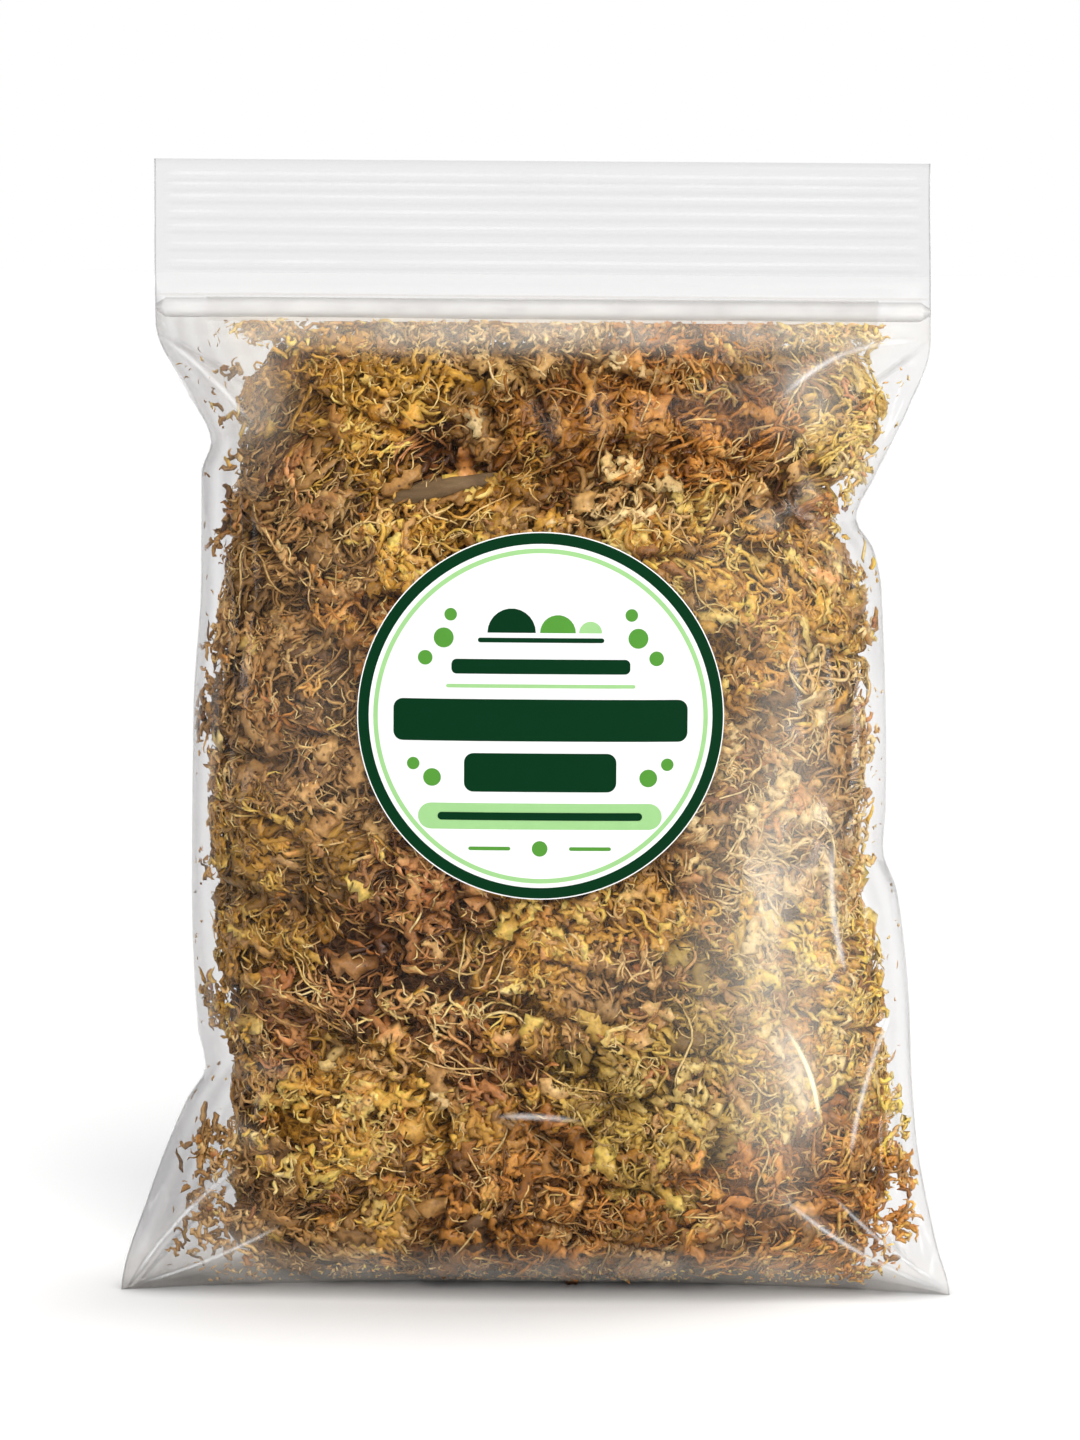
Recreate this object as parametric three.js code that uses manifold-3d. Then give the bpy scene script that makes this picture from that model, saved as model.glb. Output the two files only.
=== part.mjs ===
// A clear press-to-close bag packed with dried long-fibre sphagnum moss, standing on its own base, with a round
// label on the front. Millimetres, +Z up. The front faces -Y, and the origin is on the ground under the middle.
// The bag is one sheet folded at the base and welded up both sides, open between its lips and held shut by two
// zip strips. The moss is a pack of wads, each of one colour, that lie against each other inside the film.
import * as THREE from "three";
import { mergeVertices } from "three/addons/utils/BufferGeometryUtils.js";
import Module from "manifold-3d";

const wasm = await Module();
wasm.setup();

// ---- Driving dimensions ----
const TOP = 221; // the lips' rim, above the ground
const ZIP_HEIGHT = 192; // the middle of the zip
const ZIP_LENGTH = 131;
const FILM = 0.6; // the wall, thicker than real film so that it stays a sound solid
const SEAM = 1.4; // the two walls together, at the side welds and the lips
const MOUTH = 0.3; // the slit between the lips
const WELD = 2; // how far a side weld reaches in from the edge
const CLEAR = 0.5; // the room between the moss and the film
const PART = 0.4; // the room between two wads
const RELIEF = 3.6; // how far the leaves and strands stand out of a wad's core
const ROOTED = 1.5; // how deep a leaf or strand is sunk in the core
const MOSS_BASE = 1.4;
const MOSS_TOP = 186;
const BLADE = { above: 0.65, below: 0.35 }; // how far a blade stands above and below its line
const LABEL = { radius: 35, thick: 0.6, lift: 0.3, x: 0.2, z: 115.6 };

// A smooth curve through [height, value] pairs, flat beyond its ends, that never swings past its own values.
function profile(knots) {
  const rate = (i) => (knots[i + 1][1] - knots[i][1]) / (knots[i + 1][0] - knots[i][0]);
  const slope = (i) => {
    if (i === 0 || i === knots.length - 1) return 0;
    const [before, after] = [rate(i - 1), rate(i)];
    return before * after > 0 ? (2 * before * after) / (before + after) : 0;
  };
  return (height) => {
    const last = knots.length - 1;
    if (height <= knots[0][0]) return knots[0][1];
    if (height >= knots[last][0]) return knots[last][1];
    const i = knots.findIndex(([at]) => at > height) - 1;
    const span = knots[i + 1][0] - knots[i][0];
    const t = (height - knots[i][0]) / span;
    const climb = THREE.MathUtils.lerp(knots[i][1], knots[i + 1][1], t * t * (3 - 2 * t));
    return climb + span * t * (1 - t) * ((1 - t) * slope(i) - t * slope(i + 1));
  };
}

// ---- The bag's shape ----
// The side edges flare to the full flat width at the zip and at the two ears of the base, and are drawn in
// between, with a pinch below the zip and above each ear.
const leftEdge = profile([
  [0, -81.6], [18, -76], [36, -68.5], [42, -65], [50, -66.4], [75, -67.5],
  [140, -66.3], [160, -66.6], [166, -64.5], [176, -69], [189, -75.6], [TOP, -76],
]);
const rightEdge = profile([
  [0, 81.6], [10, 78.4], [30, 74], [58, 72.3], [78, 69.6], [87, 66.8], [96, 67.3],
  [138, 66.4], [146, 65], [152, 61.8], [160, 65.3], [174, 72], [186, 76], [TOP, 75.6],
]);
// Half the depth along the middle line, from the flat base over the packed body to the zip and the flat lips.
const halfDepth = profile([
  [0, 10.5], [MOSS_BASE, 15], [4, 19], [9, 22.4], [25, 25.2], [60, 26.1], [110, 25.6], [140, 24],
  [160, 20.5], [174, 15.5], [184, 8.6], [189, 2.9], [195, 2.9], [197, 0.85], [TOP, 0.85],
]);
// A section is |x|^crossing + |y|^roundness = 1: nearly a lens at the ears and the shoulder, boxy in the body.
const crossing = profile([[0, 2.2], [40, 2.4], [60, 2.7], [150, 2.7], [184, 2.2], [189, 40], [TOP, 40]]);
const roundness = profile([[0, 1.15], [20, 1.25], [45, 1.75], [150, 1.8], [172, 1.35], [184, 1.1], [TOP, 1]]);
// The mid surface leans back at both ends, and the ears curl forward.
const lean = profile([[0, 4.5], [30, 0], [110, 0], [ZIP_HEIGHT, 4], [TOP, 7]]);
const curl = profile([[0, 18], [12, 13], [48, 0]]);

const LEVELS = [
  0, MOSS_BASE, 4, 10, 20, 36, 42, 52, 75, 100, 125, 144, 152, 160, 167, 175, 182, MOSS_TOP, 189, 195, 197, TOP,
];
const HALF_ACROSS = [0, 0.27, 0.52, 0.72, 0.87, 0.96, 1];
const ACROSS = [...HALF_ACROSS.slice(1).reverse().map((share) => -share), ...HALF_ACROSS];

const fullness = (share, z) =>
  Math.pow(Math.max(0, 1 - Math.pow(Math.abs(share), crossing(z))), 1 / roundness(z));

const midSurface = (share, z) => lean(z) - curl(z) * Math.pow(Math.abs(share), 2.5);

// The film swells over lumps of moss and is drawn in between them, but the label keeps it smooth.
function billow(x, z, side) {
  const fromLabel = Math.hypot(x - LABEL.x, z - LABEL.z) - LABEL.radius;
  const free = side < 0 ? THREE.MathUtils.smoothstep(fromLabel, 2, 16) : 1;
  const body = THREE.MathUtils.smoothstep(z, 8, 30) * (1 - THREE.MathUtils.smoothstep(z, 160, 180));
  const waves = Math.sin(x / 10.5 + z / 23 + 1.3 * side) * Math.sin(z / 12.5 - x / 31 + side);
  return 0.9 * waves * free * body;
}

// A point of the film's outer skin (inward 0), its inner skin (inward FILM), or further in.
function skinPoint(share, z, side, inward) {
  const left = leftEdge(z);
  const right = rightEdge(z);
  const atEdge = Math.max(SEAM / 2 - inward, 0.05);
  const sideways = inward > 0 ? WELD + inward - FILM : 0;
  const x = (left + right) / 2 + share * ((right - left) / 2 - sideways);
  const swell = fullness(share, z);
  const depth = atEdge + (halfDepth(z) - inward - atEdge + billow(x, z, side)) * swell;
  return new THREE.Vector3(x, midSurface(share, z) + side * Math.max(depth, 0.05), z);
}

const ring = (z, inward, level = z) => [
  ...ACROSS.map((share) => skinPoint(share, z, -1, inward).setZ(level)),
  ...[...ACROSS].reverse().map((share) => skinPoint(share, z, 1, inward).setZ(level)),
];

// ---- Closed solids from points ----
// Joins rings of equal length, each running along the front and back again, and closes the first and the last.
function loft(rings) {
  const size = rings[0].length;
  const position = rings.flat().flatMap((p) => [p.x, p.y, p.z]);
  const index = [];
  rings.slice(1).forEach((_, row) => {
    for (let i = 0; i < size; i++) {
      const a = row * size + i;
      const b = row * size + ((i + 1) % size);
      index.push(a, b, b + size, a, b + size, a + size);
    }
  });
  const last = (rings.length - 1) * size;
  for (let i = 0; i < size / 2 - 1; i++) {
    const [a, b, c, d] = [i, i + 1, size - 2 - i, size - 1 - i];
    index.push(a, c, b, a, d, c, last + a, last + b, last + c, last + a, last + c, last + d);
  }
  return geometryOf(position, index);
}

function geometryOf(position, index) {
  const made = new THREE.BufferGeometry();
  made.setAttribute("position", new THREE.Float32BufferAttribute(position, 3));
  made.setIndex(index);
  return made;
}

function toSolid(geometry) {
  const merged = mergeVertices(geometry, 1e-4);
  return new wasm.Manifold(
    new wasm.Mesh({
      numProp: 3,
      vertProperties: new Float32Array(merged.attributes.position.array),
      triVerts: new Uint32Array(merged.index.array),
    }),
  );
}

function toGeometry(solid) {
  const { vertProperties, triVerts } = solid.getMesh();
  return geometryOf(Array.from(vertProperties), Array.from(triVerts));
}

const largestBody = (solid) => solid.decompose().reduce((a, b) => (a.volume() > b.volume() ? a : b));

// ---- The bag ----
function bagFilm() {
  const outside = LEVELS.map((z) => ring(z, 0));
  const inside = LEVELS.map((z) => ring(z, FILM, Math.max(z, FILM)));
  inside[inside.length - 1] = ring(TOP, SEAM / 2 - MOUTH / 2);
  return loft([...outside, ...inside.reverse()]);
}

// A strip of the zip: an outline in depth and height, run along the bag.
function zipStrip(outline) {
  const shape = new THREE.Shape(outline.map(([y, z]) => new THREE.Vector2(y, z)));
  const strip = new THREE.ExtrudeGeometry(shape, { depth: ZIP_LENGTH, bevelEnabled: false });
  strip.applyMatrix4(new THREE.Matrix4().makeBasis(
    new THREE.Vector3(0, 1, 0), new THREE.Vector3(0, 0, 1), new THREE.Vector3(1, 0, 0),
  ));
  return strip.translate(-ZIP_LENGTH / 2, lean(ZIP_HEIGHT), ZIP_HEIGHT);
}

const RIB_OUTLINE = [
  [-1.9, -2.3], [-1.3, -2.3], [-1.3, -0.4], [0.2, -0.4], [0.2, -0.7], [0.9, 0],
  [0.2, 0.7], [0.2, 0.4], [-1.3, 0.4], [-1.3, 2.3], [-1.9, 2.3],
];
const CHANNEL_OUTLINE = [
  [1.9, 2.3], [1.3, 2.3], [1.3, 1.7], [-0.7, 1.7], [-0.7, 0.75], [-0.1, 0.75], [-0.1, 1.1], [1.3, 1.1],
  [1.3, -1.1], [-0.1, -1.1], [-0.1, -0.75], [-0.7, -0.75], [-0.7, -1.7], [1.3, -1.7], [1.3, -2.3], [1.9, -2.3],
];

// The label follows the front of the bag, a little clear of it.
function frontLabel() {
  const RINGS = 3;
  const SECTORS = 28;
  const frontAt = (x, z) => {
    const middle = (leftEdge(z) + rightEdge(z)) / 2;
    return skinPoint((x - middle) / ((rightEdge(z) - leftEdge(z)) / 2), z, -1, 0).y;
  };
  const face = (forward) => {
    const points = [new THREE.Vector3(LABEL.x, frontAt(LABEL.x, LABEL.z) - forward, LABEL.z)];
    for (let r = 1; r <= RINGS; r++) {
      for (let s = 0; s < SECTORS; s++) {
        const angle = (2 * Math.PI * s) / SECTORS;
        const x = LABEL.x + ((LABEL.radius * r) / RINGS) * Math.cos(angle);
        const z = LABEL.z + ((LABEL.radius * r) / RINGS) * Math.sin(angle);
        points.push(new THREE.Vector3(x, frontAt(x, z) - forward, z));
      }
    }
    return points;
  };
  const front = face(LABEL.lift + LABEL.thick);
  const back = face(LABEL.lift);
  const index = [];
  const at = (r, s) => (r === 0 ? 0 : 1 + (r - 1) * SECTORS + (s % SECTORS));
  for (let s = 0; s < SECTORS; s++) {
    for (let r = 0; r < RINGS; r++) {
      const [a, b, c, d] = [at(r, s), at(r + 1, s), at(r + 1, s + 1), at(r, s + 1)];
      const faces = r === 0 ? [[a, b, c]] : [[a, b, c], [a, c, d]];
      for (const [i, j, k] of faces) index.push(i, j, k, front.length + i, front.length + k, front.length + j);
    }
    const [rim, next] = [at(RINGS, s), at(RINGS, s + 1)];
    index.push(rim, front.length + next, next, rim, front.length + rim, front.length + next);
  }
  return geometryOf([...front, ...back].flatMap((p) => [p.x, p.y, p.z]), index);
}

// ---- The moss ----
const mossLeft = profile([
  [0, -56], [12, -62], [30, -61], [45, -60], [60, -62.5], [140, -61.5], [160, -60], [170, -58], [178, -59], [190, -56],
]);
const mossRight = profile([
  [0, 62], [12, 68], [35, 68], [60, 67], [86, 61.5], [100, 62.5], [140, 61], [151, 56], [162, 60], [176, 66], [190, 62],
]);
const MOSS_INSIDE = 1.2; // how far the tips of the leaves stay from the film's outer skin

// A point of the moss at an angle round the bag (0 at the right side, a quarter turn at the back) and a height.
function mossPoint(angle, z, inset) {
  const [left, right] = [mossLeft(z) + inset, mossRight(z) - inset];
  const share = Math.cos(angle);
  const depth = Math.max(halfDepth(z) - MOSS_INSIDE - inset, 0.8) * fullness(share, z);
  const x = (left + right) / 2 + (share * (right - left)) / 2;
  const bagShare = (2 * x - leftEdge(z) - rightEdge(z)) / (rightEdge(z) - leftEdge(z));
  return new THREE.Vector3(x, midSurface(bagShare, z) + Math.sign(Math.sin(angle)) * depth, z);
}

const WADS = [
  // name, colour, middle [x, y, z]
  ["straw_crown", "straw", [-8, -3, 190]],
  ["olive_top_left", "olive", [-34, -9, 172]],
  ["rust_top", "rust", [6, -12, 168]],
  ["rust_top_right", "rust", [38, -9, 171]],
  ["green_top_right", "green", [66, -4, 172]],
  ["brown_upper_left", "brown", [-55, -10, 148]],
  ["olive_upper_middle", "olive", [-14, -14, 147]],
  ["gold_upper_right", "gold", [38, -14, 137]],
  ["brown_left", "brown", [-46, -14, 116]],
  ["brown_behind_label", "brown", [2, -14, 112]],
  ["straw_right", "straw", [52, -13, 101]],
  ["olive_left", "olive", [-53, -13, 78]],
  ["dark_lower_left", "dark", [-28, -15, 66]],
  ["olive_lower_middle", "olive", [6, -15, 70]],
  ["gold_lower_left", "gold", [-33, -14, 36]],
  ["green_lower_middle", "green", [21, -14, 44]],
  ["gold_lower_right", "gold", [62, -10, 56]],
  ["brown_bottom_left", "brown", [-62, -7, 20]],
  ["rust_bottom", "rust", [-2, -12, 14]],
  ["rust_bottom_right", "rust", [50, -9, 17]],
  ["brown_back_top", "brown", [-26, 12, 160]],
  ["straw_back_top", "straw", [36, 12, 152]],
  ["rust_back_left", "rust", [-42, 13, 106]],
  ["brown_back_right", "brown", [32, 14, 98]],
  ["gold_back_bottom", "gold", [-34, 13, 44]],
  ["brown_back_bottom", "brown", [34, 13, 36]],
].map(([name, colour, middle]) => ({ name, colour, middle: new THREE.Vector3(...middle) }));

const nearestWad = (point) =>
  WADS.reduce((a, b) => (a.middle.distanceTo(point) < b.middle.distanceTo(point) ? a : b));

// The whole pack's core, which the leaves stand out of.
function mossCore() {
  const STEPS = 20;
  const heights = [MOSS_BASE + 1, 8, 24, 45, 75, 110, 142, 160, 174, MOSS_TOP - 1];
  return toSolid(loft(heights.map((z) =>
    Array.from({ length: STEPS }, (_, i) => mossPoint(Math.PI + ((i + 0.5) * 2 * Math.PI) / STEPS, z, RELIEF)),
  )));
}

// The room inside the film, built on the film's own levels so that no leaf can reach the film.
function roomInside() {
  const heights = LEVELS.filter((z) => z >= MOSS_BASE && z <= MOSS_TOP);
  return toSolid(loft(heights.map((z) => ring(z, FILM + CLEAR))));
}

// A leaf or strand is three-sided: rooted in the core, it runs along under the film on a bent line. This gives
// its stations, from the root to the tip.
const BLADE_SHAPE = {
  leaf: [{ wide: 0.6 }, { wide: 1 }, { wide: 0.4 }],
  strand: [{ wide: 0.7 }, { wide: 1 }, { wide: 0.85 }, { wide: 0.4 }],
};

function bladeLine({ angle, z, kind, heading, length, bend, width, layer }) {
  const shape = BLADE_SHAPE[kind];
  const pace = length / (shape.length - 1);
  let [a, h, way] = [angle, z, heading];
  return shape.map(({ wide }, i) => {
    const centre = mossPoint(a, h, i === 0 ? RELIEF + ROOTED : layer);
    const out = mossPoint(a, h, 0).sub(mossPoint(a, h, 3)).normalize();
    const reach = mossPoint(a + 0.02, h, layer).distanceTo(mossPoint(a, h, layer)) / 0.02;
    a += (pace * Math.cos(way)) / Math.max(reach, 12);
    h += pace * Math.sin(way);
    way += bend;
    return { centre, out, half: (width * wide) / 2 };
  });
}

function bladeSolid(stations) {
  const points = stations.flatMap(({ centre, out, half }, i) => {
    const before = stations[Math.max(i - 1, 0)].centre;
    const after = stations[Math.min(i + 1, stations.length - 1)].centre;
    const sideways = new THREE.Vector3().subVectors(after, before).cross(out).normalize();
    return [
      centre.clone().addScaledVector(sideways, half).addScaledVector(out, -BLADE.below),
      centre.clone().addScaledVector(out, BLADE.above),
      centre.clone().addScaledVector(sideways, -half).addScaledVector(out, -BLADE.below),
    ];
  });
  const end = points.length - 3;
  const index = [0, 1, 2, end, end + 2, end + 1];
  for (let row = 0; row < end; row += 3) {
    for (let k = 0; k < 3; k++) {
      const [p, q] = [row + k, row + ((k + 1) % 3)];
      index.push(p, p + 3, q, q, p + 3, q + 3);
    }
  }
  return toSolid(geometryOf(points.flatMap((p) => [p.x, p.y, p.z]), index));
}

function seeded(seed) {
  let state = seed;
  return (low, high) => {
    state = (Math.imul(state, 1664525) + 1013904223) >>> 0;
    return low + ((high - low) * state) / 4294967296;
  };
}

// Roots are spread evenly over the pack. The pale green and yellow wads have short leaves, and the brown and straw
// ones have long strands, which run side by side in slow swirls. A blade turns until it lies clear of the blades
// before it and within its own wad, and where none fits it is left out.
function plantBlades() {
  const ROOTS = 620;
  const SPREAD = { round: 0.7548776662, up: 0.5698402909 }; // steps that fill a square evenly
  const APART = 3;
  const TURNS = [0, 0.5, -0.5, 1.1, -1.1, 1.8, -1.8, 2.6];
  const draw = seeded(17);
  const planted = new Map(WADS.map((wad) => [wad.name, []]));
  const taken = [];
  for (let n = 1; n <= ROOTS; n++) {
    const round = 2 * Math.PI * ((n * SPREAD.round) % 1);
    const angle = round + 0.16 * Math.sin(2 * round);
    const z = THREE.MathUtils.lerp(MOSS_BASE + 3, MOSS_TOP - 3, (n * SPREAD.up) % 1);
    const root = mossPoint(angle, z, RELIEF);
    const wad = nearestWad(root);
    const kind = ["olive", "gold", "green"].includes(wad.colour) ? "leaf" : "strand";
    const swirl = 1.9 * Math.sin(root.x / 17 + z / 29) + 2.3 * Math.cos(z / 21 - root.x / 43) + draw(-0.4, 0.4);
    const size = kind === "leaf"
      ? { length: draw(9, 13), bend: draw(-0.4, 0.4), width: 4.8 }
      : { length: draw(15, 22), bend: draw(-0.5, 0.5), width: 4 };
    const layer = draw(0.9, 1.9);
    const lines = TURNS.map((turn) => bladeLine({ angle, z, kind, heading: swirl + turn, layer, ...size }));
    const line = lines.find((stations) => stations.slice(1).every(({ centre }, i) => {
      const middle = centre.clone().lerp(stations[i].centre, 0.5);
      return centre.z > MOSS_BASE + 2 && centre.z < MOSS_TOP - 1.5 && nearestWad(centre) === wad
        && taken.every((other) => other.distanceTo(centre) > APART && other.distanceTo(middle) > APART);
    }));
    if (!line) continue;
    line.slice(1).forEach(({ centre }, i) => taken.push(centre, centre.clone().lerp(line[i].centre, 0.5)));
    planted.get(wad.name).push(bladeSolid(line));
  }
  return planted;
}

// The space that lies nearer to a wad's middle than to any other's, less half the room between two wads.
function cellOf(wad) {
  const SPAN = 800;
  return WADS.filter((other) => other !== wad).map((other) => {
    const away = new THREE.Vector3().subVectors(wad.middle, other.middle).normalize();
    const border = new THREE.Vector3().addVectors(wad.middle, other.middle).multiplyScalar(0.5);
    const side = new THREE.BoxGeometry(SPAN, SPAN, SPAN).translate(0, 0, SPAN / 2 + PART / 2);
    side.deleteAttribute("normal").deleteAttribute("uv");
    side.applyQuaternion(new THREE.Quaternion().setFromUnitVectors(new THREE.Vector3(0, 0, 1), away));
    return toSolid(side.translate(...border.toArray()));
  }).reduce((cell, side) => cell.intersect(side));
}

function buildWads() {
  const [core, room, planted] = [mossCore(), roomInside(), plantBlades()];
  return WADS.map((wad) => {
    const cell = cellOf(wad).intersect(room);
    const leafy = planted.get(wad.name).reduce((whole, leaf) => whole.add(leaf), core.intersect(cell));
    return { wad, geometry: toGeometry(largestBody(leafy.intersect(cell))) };
  });
}

// ---- The object ----
const plastic = { color: 0xe9e9ec, roughness: 0.18, metalness: 0, transparent: true, opacity: 0.3 };
const MOSS_COLOURS = {
  olive: 0x8f7f3a, straw: 0xa98d5a, rust: 0x9c6134, brown: 0x7d5b38, gold: 0xb09a3e, green: 0x8f9346, dark: 0x5a4230,
};

const bag = new THREE.Group();
function place(name, geometry, finish) {
  const mesh = new THREE.Mesh(geometry, new THREE.MeshStandardMaterial(finish));
  mesh.name = name;
  bag.add(mesh);
}

place("bag_film", bagFilm(), plastic);
place("zip_rib_strip", zipStrip(RIB_OUTLINE), { ...plastic, opacity: 0.6 });
place("zip_channel_strip", zipStrip(CHANNEL_OUTLINE), { ...plastic, opacity: 0.6 });
place("front_label", frontLabel(), { color: 0xf6f7f5, roughness: 0.45, metalness: 0 });
for (const { wad, geometry } of buildWads()) {
  place(`moss_${wad.name}`, geometry, { color: MOSS_COLOURS[wad.colour], roughness: 0.8, metalness: 0 });
}

export default bag;
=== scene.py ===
"""A clear zip bag packed with dried sphagnum moss, standing on a pale floor under soft studio light.

Shapes are worked out in millimetres, with nearly the solids' own curves, and made in metres. The film's sides
stand up to 1.5 mm further out than the solid's between the ears and the upper pinch. The front faces -Y.
"""

import math

import bmesh
import bpy
import numpy as np
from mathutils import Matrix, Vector


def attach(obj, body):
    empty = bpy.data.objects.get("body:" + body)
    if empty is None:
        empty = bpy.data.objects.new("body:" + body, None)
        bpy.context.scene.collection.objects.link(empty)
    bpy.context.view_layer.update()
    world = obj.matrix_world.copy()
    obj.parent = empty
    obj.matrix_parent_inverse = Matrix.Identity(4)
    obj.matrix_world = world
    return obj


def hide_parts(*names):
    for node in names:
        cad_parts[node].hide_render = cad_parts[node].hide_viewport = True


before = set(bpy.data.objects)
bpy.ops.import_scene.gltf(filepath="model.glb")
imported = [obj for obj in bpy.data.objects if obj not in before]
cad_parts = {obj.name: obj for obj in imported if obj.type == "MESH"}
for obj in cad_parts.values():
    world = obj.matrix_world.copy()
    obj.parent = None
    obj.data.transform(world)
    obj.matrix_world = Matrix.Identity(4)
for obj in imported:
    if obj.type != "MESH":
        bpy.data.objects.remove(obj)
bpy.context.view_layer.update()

MM = 0.001
TOP = 221.0
ZIP_HEIGHT = 192.0
MOSS_BASE = 1.4
MOSS_TOP = 186.0
STRAND_TOP = 190.2
MOSS_INSIDE = 1.2
FILM_WALL = 0.16
LABEL_RADIUS = 35.0
LABEL_X = 0.2
LABEL_Z = 115.6
SEED = 41
TURN = 2 * math.pi


# ---- Curves of the bag ----
def profile(*knots):
    """A smooth curve through (height, value) knots that never swings past them, for an array of heights."""
    at, value = np.array(knots, float).T
    rate = np.diff(value) / np.diff(at)
    before, after = rate[:-1], rate[1:]
    total = np.where(before + after == 0, 1, before + after)
    slope = np.zeros(len(at))
    slope[1:-1] = np.where(before * after > 0, 2 * before * after / total, 0)

    def curve(height):
        h = np.clip(height, at[0], at[-1])
        i = np.clip(np.searchsorted(at, h, side="right") - 1, 0, len(at) - 2)
        span = at[i + 1] - at[i]
        t = (h - at[i]) / span
        climb = value[i] + (value[i + 1] - value[i]) * t * t * (3 - 2 * t)
        return climb + span * t * (1 - t) * ((1 - t) * slope[i] - t * slope[i + 1])

    return curve


left_edge = profile(
    (0, -81.6), (18, -76.6), (36, -69.5), (42, -66), (50, -67.5), (75, -68.6), (115, -68.1),
    (140, -66.6), (160, -66.6), (166, -64.7), (176, -69.5), (189, -75.6), (TOP, -76),
)
right_edge = profile(
    (0, 81.6), (10, 79), (30, 75.3), (58, 73.7), (78, 71.1), (87, 68.1), (96, 68.5),
    (138, 67), (146, 65.3), (152, 61.8), (160, 65.3), (174, 72), (186, 76), (TOP, 75.6),
)
half_depth = profile(
    (0, 10.5), (MOSS_BASE, 15), (4, 19), (9, 22.4), (25, 25.2), (60, 26.1), (110, 25.6), (140, 24),
    (160, 20.5), (174, 15.5), (184, 8.6), (189, 2.9), (195, 2.9), (197, 0.85), (TOP, 0.85),
)
crossing = profile((0, 2.2), (40, 2.4), (60, 2.7), (150, 2.7), (184, 2.2), (189, 40), (TOP, 40))
roundness = profile((0, 1.15), (20, 1.25), (45, 1.75), (150, 1.8), (172, 1.35), (184, 1.1), (TOP, 1))
lean = profile((0, 4.5), (30, 0), (110, 0), (ZIP_HEIGHT, 4), (TOP, 7))
curl = profile((0, 18), (12, 13), (48, 0))
moss_left = profile(
    (0, -57), (12, -63), (30, -61.5), (45, -61.6), (60, -65), (110, -65.6), (140, -63), (160, -61.5),
    (170, -60), (178, -60.5), (190, -57),
)
moss_right = profile(
    (0, 62), (12, 69), (35, 70.5), (60, 69.5), (86, 64.2), (100, 65.4), (138, 64.4), (151, 58.5),
    (162, 62), (176, 68), (190, 64),
)


def smooth(low, high, value):
    t = np.clip((value - low) / (high - low), 0, 1)
    return t * t * (3 - 2 * t)


def bell(x, z, at_x, at_z, wide, tall):
    """One at the middle of a patch, and fading away all round."""
    return np.exp(-(((x - at_x) / wide) ** 2) - ((z - at_z) / tall) ** 2)


def unit(vectors):
    """Vectors made one long."""
    return vectors / (np.linalg.norm(vectors, axis=-1, keepdims=True) + 1e-9)


def fullness(share, z):
    return np.maximum(0, 1 - np.abs(share) ** crossing(z)) ** (1 / roundness(z))


def mid_surface(share, z):
    return lean(z) - curl(z) * np.abs(share) ** 2.5


def share_at(x, z):
    """How far across the bag a point is, from -1 at the left edge to 1 at the right edge."""
    left, right = left_edge(z), right_edge(z)
    return np.clip((2 * x - left - right) / (right - left), -1, 1)


def lattice_noise(x, y, seed):
    """Smooth noise between -1 and 1 with a grain of one unit."""
    ix, iy = np.floor(x).astype(np.int64), np.floor(y).astype(np.int64)
    fx, fy = x - ix, y - iy

    def corner(dx, dy):
        n = (ix + dx) * 73856093 ^ (iy + dy) * 19349663 ^ seed * 83492791
        n = (n ^ (n >> 13)) * 1274126177 & 0x7FFFFFFF
        return (n ^ (n >> 16)) % 65536 / 32767.5 - 1

    ux, uy = fx * fx * (3 - 2 * fx), fy * fy * (3 - 2 * fy)
    low = corner(0, 0) * (1 - ux) + corner(1, 0) * ux
    high = corner(0, 1) * (1 - ux) + corner(1, 1) * ux
    return low * (1 - uy) + high * uy


def from_label(x, z):
    return np.hypot(x - LABEL_X, z - LABEL_Z) - LABEL_RADIUS


def billow(x, z, side):
    """The film swells over lumps of moss, but lies smooth under the label."""
    free = smooth(2, 16, from_label(x, z)) if side < 0 else 1
    body = smooth(8, 30, z) * (1 - smooth(160, 180, z))
    return 0.9 * np.sin(x / 10.5 + z / 23 + 1.3 * side) * np.sin(z / 12.5 - x / 31 + side) * free * body


def slump(x, z):
    """How far the top of the pack has sunk: unevenly, and most at its corners."""
    corners = 6.0 * smooth(40, 56, -x) + 2.0 * smooth(56, 68, x)
    return (0.2 + 0.9 * lattice_noise(x / 9, x * 0, 14) + corners) * smooth(130, MOSS_TOP, z)


def moss_point(angle, z, inset):
    """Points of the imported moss: angle 0 is the right side and a quarter turn is the back."""
    left, right = moss_left(z) + inset, moss_right(z) - inset
    share = np.cos(angle)
    depth = np.maximum(half_depth(z) - MOSS_INSIDE - inset, 0.5) * fullness(share, z)
    x = (left + right) / 2 + share * (right - left) / 2
    return np.stack([x, mid_surface(share_at(x, z), z) + np.sign(np.sin(angle)) * depth, z - slump(x, z)], -1)


# ---- Materials ----
WHITE = (1, 1, 1)
CLEAR = (0.97, 0.97, 0.971)
BRIGHT_MILK = (0.95, 0.95, 0.955)
# The floor's contact shadow is painted shade, darkening its colour within this reach
CONTACT_REACH = 0.009  # how near, in metres, something dims the floor


def new_material(name):
    material = bpy.data.materials.new(name)
    material.use_nodes = True
    return material, material.node_tree


def feed(tree, socket, value):
    """Sets an input to a number, or links it to an output."""
    if isinstance(value, (int, float)):
        socket.default_value = value
    else:
        tree.links.new(value, socket)


def object_coordinates(tree, stretch=(1, 1, 1)):
    coordinates = tree.nodes.new("ShaderNodeTexCoord")
    mapping = tree.nodes.new("ShaderNodeMapping")
    mapping.inputs["Scale"].default_value = stretch
    tree.links.new(coordinates.outputs["Object"], mapping.inputs["Vector"])
    return mapping.outputs["Vector"]


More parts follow.
